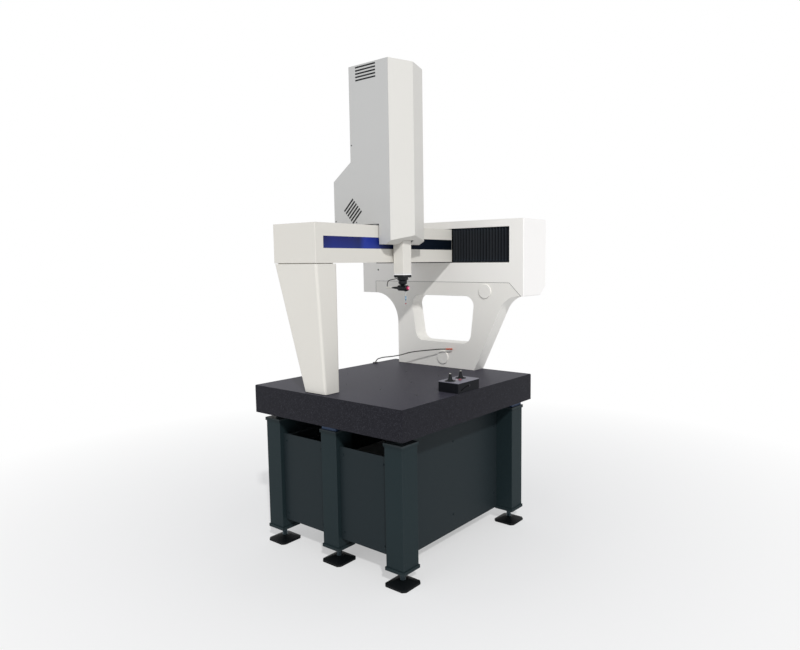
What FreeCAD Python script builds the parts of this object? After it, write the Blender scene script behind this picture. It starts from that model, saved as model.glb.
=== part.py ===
import FreeCAD, Part
import math
import os
from FreeCAD import Vector as V

os.makedirs("parts", exist_ok=True)

# Bridge-type coordinate measuring machine on a granite table.
# X runs along the bridge beam, Y along the table (the bridge travels in Y), Z is up.
# Sizes are in millimetres. X = Y = 0 is the table centre while modelling, Z = 0 is the floor.

# granite table
table_x = 1046.0
table_y = 964.0
table_t = 136.0
table_top = 800.0
table_edge = 3.0            # chamfer along the top edges
insert_pitch = 225.0
insert_cols = 3
insert_rows = 4
insert_first = (-256.0, -338.0)
insert_r = 8.0
insert_len = 25.0
insert_bore_r = 3.4         # M8 tapping size
insert_gap = 0.05           # bond line round each bush

# steel stand
post = 100.0
post_wall = 4.0
post_corner = 2.0
post_x = 437.0              # post centre lines
post_y = 397.0
plate = 108.0               # cap and base plates of a post
plate_t = 15.0
mount_gap = 28.0            # space between a post cap and the granite
base_clear = 72.0           # floor to base plate
rail_h = 50.0
rail_d = 25.0
rail_wall = 4.0
rail_low = 138.0
rail_drop = 159.0           # upper rails, below the granite
panel_t = 2.0
shelf_t = 3.0
panel_fit = 1.0
side_recess = 22.0          # side sheet behind the post faces
side_panel_low = 128.0
side_panel_drop = 99.0      # top edge, below the granite
end_panel_low = 80.0
end_panel_drop = 22.0
pad_size = 92.0             # levelling mounts under the granite
foot = 122.0
foot_t = 8.0
foot_top = 24.0             # the pad rises like a low pyramid to here
foot_crown = 44.0           # width at the top of the rise
foot_corner = 0.16          # cut corner, as a share of the width
stud_r = 12.0
nut_af = 36.0
nut_t = 14.0

# controller inside the stand
case_x = (-210.0, 180.0)
case_y = (-180.0, 180.0)
case_h = 240.0
case_t = 1.5

# raised side wall with its window, carrying the Y guide
wall_x = 436.0              # inner face
wall_t = 91.5
wall_foot_y = (-172.0, 379.0)
wall_waist_y = -375.0       # where the sloping front edge meets the guide housing
wall_tuck = 69.5            # how far the wall reaches up into the guide housing
wall_top_y = (-397.0, 556.0)
wall_nose_y = -469.0
wall_arc = 174.0            # large radius at the rear
wall_blend = 130.0
cover_t = 3.0
cover_gap = 3.0
window_sill = 145.0         # above the granite
window_head = 6.5           # below the guide housing
window_low_y = (-145.0, 235.0)
window_high_y = (-177.0, 277.0)
window_r = 55.0
wall_split = 69.0           # inner cover depth
cap_r = 39.0
cap_h = 7.0
cap_y = (-246.0, 43.0)
cap_up = (22.5, 57.0)       # above the housing's lower edge, above the granite

# guide housing
house_y = (-484.0, 663.0)
house_rise = 415.5          # granite to the housing's lower edge
house_over = 43.5           # housing above the beam
house_out = 671.0
house_bevel = (57.0, 50.0)  # outer lower edge, across and up
house_t = 3.0
end_t = 6.0
curtain_y = (-398.0, 553.0)
curtain_past = (2.0, 4.5)   # below and above the beam
curtain_x = (439.5, 452.0)  # folds just inside the housing face
slot_drop = 3.0             # opening below the curtain
fold_pitch = 12.5
fold_wall = 0.8
fold_gap = 0.5

# Y guide
bed_gap = 1.5               # guide bed above the housing's floor
bed_x = (470.0, 600.0)
guide_x = (475.0, 600.0)
guide_lift = 15.0           # guide above the wall
guide_h = 72.0
guide_y = (-446.0, 630.0)
air_gap = 0.2
air_pad_t = 12.0
air_pad_r = 24.0

# bridge beam and leg
beam_left = -552.0
beam_front = -23.0
beam_d = 284.5
beam_lift = 25.0            # beam above the guide
beam_h = 178.0
beam_wall = 8.0
beam_end_t = 10.0
band_left = -505.5
band_up = 66.0
band_h = 54.0
band_t = 1.0
leg_foot = (-501.0, -410.5, -5.5, 137.5)
leg_head_x = (-552.0, -426.0)
leg_clear = 2.5             # skirt above the granite
leg_seam = 3.5
leg_wall = 9.0
leg_pad_r = 33.0
leg_pad_t = 16.0

# Y carriage inside the housing
ycar_x = (455.0, 648.0)
ycar_plate = 25.0
ear_up = 8.0                # lower end of the ears, above the guide's underside
ear_y = (6.0, 186.0)        # start of each pair of ears, from the beam front
ear_len = 80.0

# friction drives
wheel_r = 20.0
wheel_w = 14.0
wheel_gap = 0.1
ywheel_up = 46.0            # wheel above the guide's underside
ywheel_y = 142.0            # behind the beam front
xwheel_r = 30.0
xwheel_y = 82.0             # wheel and its opening, behind the beam front
xwheel_room = (75.0, 195.0)
motor_r = 24.0
motor_len = 90.0
motor_stand = 10.0          # wheel to motor
motor_foot = (30.0, 8.0)
shaft_r = 5.0

# Z column, riding on the beam
col_x = (-154.0, 97.0)
col_front = -103.5
prow = 46.0                 # how far the front folds forward
col_rise = 766.0            # column above the beam
col_behind = 14.5           # lower rear cover, behind the beam
col_step = 122.5            # upper rear cover, in front of the lower one
col_slope_drop = (538.0, 452.0)  # both ends of the rear slope, below the top
col_skirt = 87.0            # lower edge, above the beam's underside
chin_y = -72.0
chin_slope = 0.56
skin = 3.0
seam = 0.5
beam_play = 6.0             # cover to beam
vent_h = 6.0
vent_top_y = (176.5, 45.5)  # both ends, in front of the upper rear cover
vent_top_drop = 71.0        # lowest of the upper slots, below the top
vent_top_pitch = 15.0
vent_top_count = 5
vent_side_y = 11.5          # where the first leaning slot starts, from the same cover
vent_side_drop = 93.0       # below the rear slope
vent_side_len = 84.0
vent_side_pitch = 16.6
vent_side_count = 6
vent_lean = 43.0
cover_screw_up = 80.0       # screws along the rear edge, above the slope
cover_screw_y = 33.5
cover_screw_rise = (20.0, 30.0)  # lower screws, above the beam
everywhere = 3000.0         # longer than the machine, for cutting boxes

# quill and its guide
quill = 63.0
quill_y = -66.2
quill_hang = 51.0           # quill's end below the beam
quill_len = 848.0
quill_wall = 6.0
quill_play = 1.5            # quill to the cover's hole
hole_front = 9.0            # more room in front of the quill and to its right
hole_side = 9.0
bearing_gap = 0.2
bearing_size = 30.0
bearing_inset = 8.0
xpad_in = 32.0              # bridge pads of the saddle: from its sides, then behind the beam front
xpad_y = (45.0, 170.0)
front_pad_t = 8.0
front_pad_up = 133.0        # above the beam's underside
rear_pad_t = 4.0
rear_pad_r = 20.0
rear_pad_up = 143.0
end_block_t = 11.0
probe_plate_t = 12.0
saddle_gap = 9.0            # saddle above the beam
saddle_t = 56.0
tower_up = 106.0            # towers end above the beam's underside
guide_box_h = 120.0
guide_box_wall = 14.0
mast_x = (-142.0, 79.0)
mast = 18.0
mast_y = (20.0, 60.0)
cyl_r = 16.0
cyl_bore = 7.0
cyl_up = 40.0               # cylinder above the guide box
cyl_drop = 41.0             # and below the column's top
rod_r = 5.0
rod_len = 860.0

# indexing probe head
head_top_r = 27.5
head_gap = 0.3              # swivel gap under the probe plate
head_collar = 12.0          # depth of the collar
head_neck = 36.7            # from the top to the bottom of the neck
head_steps = ((23.0, 15.0), (21.0, 19.0), (21.0, 31.0), (15.0, 36.7))  # radius, depth
head_tilt_drop = 52.7       # tilt axis below the top
barrel_r = 14.5
barrel_back = 28.5          # fixed half of the barrel, behind the tilt plane
drum_front = 32.0           # tilting half
drum_gap = 0.4
head_bridge_r = 13.0        # half-round web between the neck and the fixed barrel
probe_seat = 1.5            # flat under the drum
lens_r = 9.0
lens_t = 9.0
lens_round = 6.5
plug_len = 46.0
plug_r = (7.0, 3.2)
elbow_run = 32.7
sleeve_r = 3.4
rise_r = 2.8
shank_r = 2.4
probe_r = 4.7
probe_off = 18.0            # probe axis in front of the head axis
probe_drop = 39.0           # probe's end below the tilt axis
stylus_drop = (61.5, 77.2)  # end of the holder, centre of the ball
stem_r = 1.1
ball_r = 3.0
jumper_r = 2.0

# control console on the table
con_x = (-130.0, 40.0)
con_y = (-477.0, -362.0)
con_h = 49.0
con_top_t = 3.0
stick_at = ((-100.0, -410.0), (-11.0, -405.0))
stick_flange_r = 26.0
stick_hole_r = 15.0
stick_h = 34.0
stop_at = (-60.0, -437.0)
stop_r = 8.0

# workpiece temperature sensor, on a stiff bent arm
arm_r = 3.0
arm_rise = ((321.0, 463.0, 6.0), (323.0, 450.0, 25.0), (330.0, 410.0, 38.0),
            (343.0, 350.0, 46.0), (355.0, 292.0, 58.0), (367.0, 231.0, 78.0),
            (380.0, 166.0, 89.0), (392.0, 102.0, 98.0), (405.0, 40.0, 106.0),
            (413.0, 3.0, 108.0))   # heights above the granite
tip_len = 40.0

# heights, from the floor up
table_low = table_top - table_t
rail_high = table_low - rail_drop
side_panel_z = (side_panel_low, table_low - side_panel_drop)
end_panel_z = (end_panel_low, table_low - end_panel_drop)
house_low = table_top + house_rise
window_z = (table_top + window_sill, house_low - window_head)
cap_at = ((cap_y[0], house_low + cap_up[0]), (cap_y[1], table_top + cap_up[1]))
wall_top = house_low + wall_tuck
guide_z = (wall_top + guide_lift, wall_top + guide_lift + guide_h)
beam_z = (guide_z[1] + beam_lift, guide_z[1] + beam_lift + beam_h)
band_z = (beam_z[0] + band_up, beam_z[0] + band_up + band_h)
house_z = (house_low, beam_z[1] + house_over)
curtain_z = (beam_z[0] - curtain_past[0], beam_z[1] + curtain_past[1])
ear_low = guide_z[0] + ear_up
ywheel_z = guide_z[0] + ywheel_up
col_low = beam_z[0] + col_skirt
col_top = beam_z[1] + col_rise
col_slope_z = (col_top - col_slope_drop[0], col_top - col_slope_drop[1])
saddle_z = (beam_z[1] + saddle_gap, beam_z[1] + saddle_gap + saddle_t)
tower_low = beam_z[0] + tower_up
guide_box_z = (saddle_z[1], saddle_z[1] + guide_box_h)
cyl_z = (guide_box_z[1] + cyl_up, col_top - cyl_drop)
quill_z = (beam_z[0] - quill_hang, beam_z[0] - quill_hang + quill_len)
head_top = quill_z[0] - end_block_t - probe_plate_t - head_gap
head_z = (head_top, head_top - head_collar, head_top - head_neck)
tilt_z = head_top - head_tilt_drop
probe_low = tilt_z - probe_drop
stylus_z = (tilt_z - stylus_drop[0], tilt_z - stylus_drop[1])
arm_route = [(a, b, table_top + up) for a, b, up in arm_rise]

col_mid = (col_x[0] + col_x[1]) / 2
beam_rear = beam_front + beam_d
col_rear_low = beam_rear + col_behind
col_rear = col_rear_low - col_step
house_x = wall_x
centre_x = (beam_left + house_out) / 2
centre_y = (house_y[0] + house_y[1]) / 2
pieces = {}


def keep(name, shapes):
    """Store a node: one solid, or a list of solids that belong together."""
    group = shapes if isinstance(shapes, list) else [shapes]
    pieces[name] = group


def box(x, y, z):
    return Part.makeBox(x[1] - x[0], y[1] - y[0], z[1] - z[0], V(x[0], y[0], z[0]))


def rod(r, start, end):
    line = end - start
    return Part.makeCylinder(r, line.Length, start, line)


def cut(solid, *tools):
    for tool in tools:
        solid = solid.cut(tool)
    return solid.removeSplitter()


def join(first, *rest):
    for other in rest:
        first = first.fuse(other)
    return first.removeSplitter()


def prism(points, plane, start, end):
    """Extrude an outline drawn in a plane ('xy', 'yz' or 'xz') from start to end."""
    place = {"xy": lambda a, b: V(a, b, start), "yz": lambda a, b: V(start, a, b),
             "xz": lambda a, b: V(a, start, b)}[plane]
    way = {"xy": V(0, 0, 1), "yz": V(1, 0, 0), "xz": V(0, 1, 0)}[plane]
    ring = [place(a, b) for a, b in points]
    return Part.Face(Part.makePolygon(ring + ring[:1])).extrude(way * (end - start))


def round_edges(solid, r, wanted):
    edges = [e for e in solid.Edges if wanted(e)]
    return solid.makeFillet(r, edges) if edges else solid


def bevel_edges(solid, size, wanted):
    edges = [e for e in solid.Edges if wanted(e)]
    return solid.makeChamfer(size, edges) if edges else solid


def along(edge, axis):
    if not isinstance(edge.Curve, Part.Line):
        return False
    return abs(edge.tangentAt(edge.FirstParameter).dot(axis)) > 0.999


def near_yz(edge, spots):
    c = edge.CenterOfMass
    return any(math.hypot(c.y - y, c.z - z) < 1.0 for y, z in spots)


X, Y, Z = V(1, 0, 0), V(0, 1, 0), V(0, 0, 1)


def turned(points, axis_at):
    """Revolve an (r, z) outline about the vertical line through axis_at."""
    ring = [V(axis_at[0] + r, axis_at[1], z) for r, z in points]
    face = Part.Face(Part.makePolygon(ring + ring[:1]))
    return face.revolve(V(axis_at[0], axis_at[1], 0), Z, 360)


def hexagon(af, x, y, low, high):
    r = af / math.sqrt(3)
    ring = [(x + r * math.cos(math.radians(60 * k)), y + r * math.sin(math.radians(60 * k)))
            for k in range(6)]
    return prism(ring, "xy", low, high)


def bent_tube(points, r):
    """Straight runs joined by tangent arcs, as large as the runs allow, swept by a circle."""
    pts = [V(*p) for p in points]
    edges = []
    last = pts[0]
    radii = []
    for a, b, c in zip(pts, pts[1:], pts[2:]):
        u, w = (a - b).normalize(), (c - b).normalize()
        turn = math.pi - math.acos(max(-1, min(1, u.dot(w))))
        reach = 0.45 * min((a - b).Length, (c - b).Length)
        radii.append(reach / math.tan(turn / 2))
        start, end = b + u * reach, b + w * reach
        middle = b + (u + w).normalize() * (radii[-1] / math.cos(turn / 2) - radii[-1])
        edges.append(Part.LineSegment(last, start).toShape())
        edges.append(Part.Arc(start, middle, end).toShape())
        last = end
    edges.append(Part.LineSegment(last, pts[-1]).toShape())
    wire = Part.Wire(edges)
    ring = Part.Wire(Part.makeCircle(r, pts[0], pts[1] - pts[0]))
    tube = wire.makePipeShell([ring], True, False)
    print("bend radii", [round(x) for x in radii], "volume ratio",
          round(tube.Volume / (math.pi * r * r * wire.Length), 4))
    return tube


# ---------------------------------------------------------------- table
def insert_spots():
    return [(insert_first[0] + i * insert_pitch, insert_first[1] + j * insert_pitch)
            for i in range(insert_cols) for j in range(insert_rows)]


def make_table():
    slab = box((-table_x / 2, table_x / 2), (-table_y / 2, table_y / 2), (table_low, table_top))
    slab = bevel_edges(slab, table_edge, lambda e: e.CenterOfMass.z > table_low + 1)
    holes = [Part.makeCylinder(insert_r + insert_gap, insert_len, V(x, y, table_top - insert_len))
             for x, y in insert_spots()]
    keep("granite_table", cut(slab, *holes))
    bushes = []
    for x, y in insert_spots():
        at = V(x, y, table_top - insert_len)
        bush = Part.makeCylinder(insert_r, insert_len, at)
        bushes.append(bush.cut(Part.makeCylinder(insert_bore_r, insert_len, at)))
    keep("threaded_inserts", bushes)


# ---------------------------------------------------------------- stand
def post_spots():
    left = [(-post_x, y) for y in (-post_y, 0.0, post_y)]
    return left + [(post_x, y) for y in (-post_y, post_y)]


def cut_square(x, y, width, z):
    """Outline of a square with cut corners."""
    h = width / 2
    c = h - width * foot_corner
    ring = [(h, c), (c, h), (-c, h), (-h, c), (-h, -c), (-c, -h), (c, -h), (h, -c)]
    ring = [V(x + a, y + b, z) for a, b in ring]
    return Part.makePolygon(ring + ring[:1])


def make_stand():
    cap_top = table_low - mount_gap
    posts, feet, nuts = [], [], []
    half = post / 2
    for x, y in post_spots():
        sides = ((x - half, x + half), (y - half, y + half))
        tube = box(*sides, (base_clear + plate_t, cap_top - plate_t))
        tube = round_edges(tube, post_corner, lambda e: along(e, Z))
        inner = half - post_wall
        tube = tube.cut(box((x - inner, x + inner), (y - inner, y + inner),
                            (base_clear + plate_t, cap_top - plate_t)))
        wide = ((x - plate / 2, x + plate / 2), (y - plate / 2, y + plate / 2))
        base = box(*wide, (base_clear, base_clear + plate_t))
        base = base.cut(Part.makeCylinder(stud_r + 1, plate_t, V(x, y, base_clear)))
        posts.append(join(tube, base, box(*wide, (cap_top - plate_t, cap_top))))
        pad = Part.Face(cut_square(x, y, foot, 0)).extrude(Z * foot_t)
        rise = Part.makeLoft([cut_square(x, y, foot - 5, foot_t), cut_square(x, y, foot_crown, foot_top)],
                             True, True)
        stud = Part.makeCylinder(stud_r, base_clear + 60 - foot_t, V(x, y, foot_t))
        feet.append(join(pad, rise, stud))
        nut = hexagon(nut_af, x, y, base_clear - nut_t, base_clear)
        nuts.append(nut.cut(Part.makeCylinder(stud_r + 0.1, nut_t, V(x, y, base_clear - nut_t))))
    keep("levelling_feet", feet + nuts)

    carried = [(-post_x, 0.0), (post_x, -post_y), (post_x, post_y)]
    blocks = []
    for x, y in carried:
        block = box((x - pad_size / 2, x + pad_size / 2), (y - pad_size / 2, y + pad_size / 2),
                    (cap_top, table_low))
        groove = box((x - pad_size, x + pad_size), (y - pad_size, y + pad_size),
                     (cap_top + mount_gap / 2 - 2, cap_top + mount_gap / 2 + 2))
        core = Part.makeCylinder(pad_size / 2 - 8, 4, V(x, y, cap_top + mount_gap / 2 - 2))
        blocks.append(join(block.cut(groove), core))
    keep("support_mounts", blocks)
    stops = []
    for x, y in [p for p in post_spots() if p not in carried]:
        bolt = Part.makeCylinder(12, mount_gap - 1.5, V(x, y, cap_top))
        stops.append(join(bolt, hexagon(46, x, y, cap_top, cap_top + 16)))
    return posts + stops


def channel(length):
    """C section, open towards +Y, along X."""
    ring = [(0, 0), (rail_d, 0), (rail_d, rail_wall), (rail_wall, rail_wall),
            (rail_wall, rail_h - rail_wall), (rail_d, rail_h - rail_wall), (rail_d, rail_h),
            (0, rail_h)]
    return prism(ring, "yz", 0, length)


def rail(length, x, y, z, turn):
    bar = channel(length)
    bar.rotate(V(0, 0, 0), Z, turn)
    bar.translate(V(x, y, z))
    return bar


def make_rails_and_panels(posts):
    half = post / 2
    in_x, in_y = post_x - half, post_y - half
    side_x = post_x + half - side_recess - panel_t
    long_y, short_y = 2 * in_y, in_y - half
    rails = []
    for z in (rail_low, rail_high):
        rails.append(rail(2 * post_x, -post_x, -in_y, z, 0))
        rails.append(rail(2 * post_x, post_x, in_y, z, 180))
        rails.append(rail(long_y, side_x, -in_y, z, 90))
        rails.append(rail(short_y, -side_x, -half, z, 270))
        rails.append(rail(short_y, -side_x, in_y, z, 270))
    shelf_z = rail_low + rail_h
    shelf = box((-in_x + 30, in_x - 30), (-in_y + 2, in_y - 2), (shelf_z, shelf_z + shelf_t))
    keep("stand_frame", posts + rails + [shelf])
    f = panel_fit

    def corners(sheet, axis):
        return round_edges(sheet, 4.0, lambda e: along(e, axis))

    sheets = []
    for y in ((-in_y + f, -half - f), (half + f, in_y - f)):
        sheets.append(corners(box((-side_x - panel_t, -side_x), y, side_panel_z), X))
    sheets.append(corners(box((side_x, side_x + panel_t), (-in_y + f, in_y - f), side_panel_z), X))
    cap_low = table_low - mount_gap - plate_t
    notch = (post_x - plate / 2 - f / 2, post_x)
    for y in ((-in_y - panel_t, -in_y), (in_y, in_y + panel_t)):
        sheet = box((-in_x, in_x), y, end_panel_z)
        for x in (notch, (-notch[1], -notch[0])):
            sheet = sheet.cut(box(x, y, (0, base_clear + plate_t + f / 2)))
            sheet = sheet.cut(box(x, y, (cap_low - f / 2, table_low)))
        sheets.append(sheet)
    keep("stand_panels", sheets)

    heads = []
    for z in (rail_low + rail_h / 2, rail_high + rail_h / 2):
        for y in (-in_y + 25, -half - 25, half + 25, in_y - 25):
            heads.append(screw(V(-side_x - panel_t, y, z), V(-1, 0, 0)))
        for y in (-in_y + 25, 0.0, in_y - 25):
            heads.append(screw(V(side_x + panel_t, y, z), X))
        for x in (-in_x + 25, 0.0, in_x - 25):
            heads.append(screw(V(x, -in_y - panel_t, z), V(0, -1, 0)))
            heads.append(screw(V(x, in_y + panel_t, z), Y))
    keep("panel_screws", heads)

    floor = shelf_z + shelf_t
    case = box(case_x, case_y, (floor, floor + case_h))
    case = round_edges(case, 6.0, lambda e: along(e, Z))
    t = case_t
    case = case.cut(box((case_x[0] + t, case_x[1] - t), (case_y[0] + t, case_y[1] - t),
                        (floor, floor + case_h - t)))
    keep("controller_case", case)
    bowl = rod(22, V(262, 0, shelf_z + 8), V(262, 0, shelf_z + 90))
    block = box((232, 292), (-60, 60), (shelf_z + 90, shelf_z + 140))
    bowl2 = rod(22, V(262, -38, shelf_z + 30), V(262, -38, shelf_z + 90))
    foot_bar = box((225, 300), (50, 60), (floor, shelf_z + 90))
    keep("air_filter_unit", join(block, bowl, bowl2, foot_bar))


def screw(at, way, r=4.5, h=2.4):
    return Part.makeCylinder(r, h, at, way)


# ---------------------------------------------------------------- raised wall
def wall_outline(inset, low, high):
    """Side profile of the wall in Y and Z; inset shrinks it evenly enough for a liner."""
    i = inset
    y0, y1 = wall_foot_y
    ring = [(y0 + i, low), (wall_waist_y + i * 1.1, house_z[0])]
    ring += [(wall_nose_y + i * 2, house_z[0] + i), (wall_top_y[0] + i * 0.6, high)]
    ring += [(wall_top_y[1] - i, high), (wall_top_y[1] - i, house_z[0] + i), (y1 - i, house_z[0] + i)]
    ring += [(y1 - i, low)]
    return ring


def wall_body(inset, x0, x1, low, high):
    solid = prism(wall_outline(inset, low, high), "yz", x0, x1)
    solid = round_edges(solid, wall_arc,
                        lambda e: along(e, X) and near_yz(e, [(wall_foot_y[1] - inset,
                                                               house_z[0] + inset)]))
    solid = round_edges(solid, wall_blend,
                        lambda e: along(e, X) and near_yz(e, [(wall_waist_y + inset * 1.1,
                                                               house_z[0])]))
    return solid.cut(window_hole(-inset, x0 - 5, x1 + 5))


def window_hole(inset, x0, x1):
    """Rounded window, smaller by inset on every side."""
    i = inset
    spots = [(window_low_y[0] + i, window_z[0] + i), (window_low_y[1] - i, window_z[0] + i),
             (window_high_y[1] - i, window_z[1] - i), (window_high_y[0] + i, window_z[1] - i)]
    hole = prism(spots, "yz", x0, x1)
    return round_edges(hole, window_r - i, lambda e: along(e, X))


def make_wall():
    x0, x1 = wall_x, wall_x + wall_t
    t = cover_t
    outer = wall_body(0.0, x0, x1, table_top, wall_top)
    hollow = wall_body(t, x0 + t, x1 - t, table_top - 1, wall_top + 1)
    shell = outer.cut(hollow)
    split = x0 + wall_split
    far = everywhere
    inner = shell.common(box((x0, split), (-far, far), (0, far)))
    rest = shell.common(box((split + seam, x1), (-far, far), (0, far)))
    caps, bores = [], []
    for y, z in cap_at:
        cap = Part.makeCylinder(cap_r, cap_h, V(x0 - cap_h, y, z), X)
        cap = round_edges(cap, 3.5, lambda e: e.CenterOfMass.x < x0 - cap_h + 0.1)
        stem = Part.makeCylinder(12, t + 2, V(x0, y, z), X)
        caps.append(join(cap, stem))
        bores.append(Part.makeCylinder(12.2, t + 2, V(x0 - 1, y, z), X))
    inner = round_edges(inner.removeSplitter(), 1.5, lambda e: abs(e.CenterOfMass.x - x0) < 0.01
                        and e.CenterOfMass.z < wall_top - 1)
    keep("wall_cover_inner", cut(inner, *bores))
    keep("wall_cover_outer", rest.removeSplitter())
    keep("wall_caps", caps)

    gap = cover_t + cover_gap
    core = wall_body(gap, x0 + gap, x1 - gap, table_top, wall_top)
    bed_low = wall_top + seam + house_t + bed_gap
    riser_y = (wall_top_y[0] + 60, wall_top_y[1] - 60)
    neck = box((x0 + gap + 8, x1 - gap), riser_y, (wall_top - 30, bed_low))
    bed = box(bed_x, (guide_y[0], guide_y[1]), (bed_low, guide_z[0]))
    keep("guide_riser", join(core, neck, bed))


# ---------------------------------------------------------------- guide housing
def house_outline(inset):
    i = inset
    x0, x1, (z0, z1) = house_x, house_out, house_z
    run, rise = house_bevel
    return [(x0 + i, z0 + i), (x1 - run - i * 0.4, z0 + i), (x1 - i, z0 + rise + i * 0.4),
            (x1 - i, z1 - i), (x0 + i, z1 - i)]


def wall_notch(grow, x1):
    """Room that the wall takes out of the housing's lower inner corner."""
    y0, y1 = wall_top_y
    ring = [(wall_nose_y - grow * 2, house_z[0] - 5), (wall_nose_y - grow * 2, house_z[0] + grow * 0.2),
            (y0 - grow * 0.6, wall_top + grow), (y1 + grow, wall_top + grow),
            (y1 + grow, house_z[0] - 5)]
    return prism(ring, "yz", house_x - 5, x1)


def make_housing():
    y0, y1 = house_y[0] + end_t, house_y[1] - end_t
    t = house_t
    outer = prism(house_outline(0), "xz", y0, y1)
    outer = round_edges(outer, 4.0, lambda e: along(e, Y) and e.CenterOfMass.x > house_out - 1)
    outer = outer.cut(wall_notch(seam, wall_x + wall_t + seam))
    inner = prism(house_outline(t), "xz", y0 - 5, y1 + 5)
    inner = inner.cut(wall_notch(seam + t, wall_x + wall_t + seam + t))
    shell = outer.cut(inner)
    slot = box((wall_x + t + 4, wall_x + wall_t - 2), (wall_top_y[0] + 50, wall_top_y[1] - 50),
               (wall_top - 2, wall_top + t + 4))
    window = box((house_x - 5, house_x + t + 2), curtain_y, (curtain_z[0] - slot_drop, curtain_z[1]))
    window = round_edges(window, 3.0, lambda e: along(e, X))
    keep("housing_cover", cut(shell, slot, window))
    ends = []
    for at, way in ((house_y[0], 1), (house_y[1], -1)):
        a, b = sorted((at, at + way * (end_t - seam)))
        plate_end = prism(house_outline(0), "xz", a, b)
        face = at
        plate_end = round_edges(plate_end, 4.0, lambda e: abs(e.CenterOfMass.y - face) < 0.01)
        lip_a, lip_b = sorted((at + way * (end_t - seam), at + way * (end_t + 14)))
        lip = prism(house_outline(t + 0.5), "xz", lip_a, lip_b)
        lip = lip.cut(prism(house_outline(t + 3), "xz", lip_a - 1, lip_b + 1))
        lip = lip.cut(wall_notch(seam + t + 1, wall_x + wall_t + seam + t + 1))
        ends.append(join(plate_end, lip))
    keep("housing_ends", ends)

    guide = bevel_edges(box(guide_x, guide_y, guide_z), 2.0,
                        lambda e: along(e, Y) and e.CenterOfMass.z > guide_z[0] + 1)
    tape = box((guide_x[0] + 30, guide_x[0] + 42), (guide_y[0] + 15, guide_y[1] - 15),
               (guide_z[1], guide_z[1] + 1.5))
    keep("y_guide", [guide, tape])


def folds(y_from, y_to):
    """Pleated curtain between two frames."""
    count = max(2, round((y_to - y_from) / fold_pitch))
    step = (y_to - y_from) / count
    x0, x1 = curtain_x[0] + fold_wall, curtain_x[1] - fold_wall
    front, back = [], []
    for k in range(count * 2 + 1):
        y = y_from + k * step / 2
        x = x0 if k % 2 == 0 else x1
        front.append((x - fold_wall, y))
        back.append((x + fold_wall, y))
    return prism(front + back[::-1], "xy", curtain_z[0] + 1, curtain_z[1] - 1)


def make_curtains():
    keep("curtain_front", folds(curtain_y[0] + fold_gap, beam_front - fold_gap))
    keep("curtain_rear", folds(beam_rear + fold_gap, curtain_y[1] - fold_gap))


# ---------------------------------------------------------------- bridge
def make_bridge():
    y = (beam_front, beam_rear)
    w = beam_wall
    beam = box((beam_left + beam_end_t, ycar_x[0]), y, beam_z)
    beam = beam.cut(box((beam_left, ycar_x[0] + 1), (y[0] + w, y[1] - w),
                        (beam_z[0] + w, beam_z[1] - w)))
    groove = box((band_left, house_x + 2), (y[0] - 1, y[0] + band_t), band_z)
    beam = beam.cut(groove)
    rib_at = [beam_left + 300, beam_left + 600]
    ribs = [box((x, x + 6), (y[0] + w, y[1] - w), (beam_z[0] + w, beam_z[1] - w)) for x in rib_at]
    ribs = [r.cut(Part.makeCylinder(45, 20, V(x - 5, sum(y) / 2, sum(beam_z) / 2), X))
            for r, x in zip(ribs, rib_at)]
    tape = box((band_left + 20, house_x - 20), (beam_rear - 60, beam_rear - 48),
               (beam_z[1], beam_z[1] + 1.5))
    keep("x_beam", [join(beam, *ribs), tape])
    keep("beam_band", box((band_left, house_x + 2), (y[0], y[0] + band_t), band_z))
    end = box((beam_left, beam_left + beam_end_t), y, beam_z)
    end = round_edges(end, 2.5, lambda e: abs(e.CenterOfMass.x - beam_left) < 0.01)
    spigot = box((beam_left + beam_end_t, beam_left + beam_end_t + 15),
                 (y[0] + w + 0.2, y[1] - w - 0.2), (beam_z[0] + w + 0.2, beam_z[1] - w - 0.2))
    keep("beam_end_cap", join(end, spigot.cut(Part.makeCylinder(60, 30, V(beam_left + 10, sum(y) / 2,
                                                                          sum(beam_z) / 2), X))))

    def loop(x0, x1, y0, y1, z, r):
        flat = box((x0, x1), (y0, y1), (z - 1, z))
        flat = round_edges(flat, r, lambda e: along(e, Z))
        return max((f for f in flat.Faces if abs(f.CenterOfMass.z - z) < 0.01),
                   key=lambda f: f.Area).OuterWire

    low, high = table_top + leg_clear, beam_z[0] - leg_seam
    fx0, fx1, fy0, fy1 = leg_foot
    hx0, hx1 = leg_head_x
    t = leg_wall
    skin_out = Part.makeLoft([loop(fx0, fx1, fy0, fy1, low, 12), loop(hx0, hx1, *y, high, 12)],
                             True, True)
    skin_in = Part.makeLoft([loop(fx0 + t, fx1 - t, fy0 + t, fy1 - t, low, 6),
                             loop(hx0 + t, hx1 - t, y[0] + t, y[1] - t, high, 6)], True, True)
    ring_a = skin_in.common(box((-900, 0), (-900, 900), (low + leg_pad_t + 12, high - 15)))
    mouth = skin_in.common(box((-900, 0), (-900, 900), (low - 1, low + leg_pad_t + 2)))
    tie = box((hx0 + t + 4, hx1 - t - 4), (y[0] + t + 4, y[1] - t - 4), (high, beam_z[0]))
    keep("bridge_leg", join(cut(skin_out, ring_a, mouth), tie))
    px, py = (fx0 + fx1) / 2, (fy0 + fy1) / 2
    base = table_top + air_gap
    pad = Part.makeCylinder(leg_pad_r, leg_pad_t - 4, V(px, py, base))
    pad = round_edges(pad, 2.0, lambda e: e.CenterOfMass.z > base + leg_pad_t - 5)
    ball = Part.makeCylinder(8, 6 + leg_clear - air_gap, V(px, py, base + leg_pad_t - 4))
    return join(pad, ball)


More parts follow.
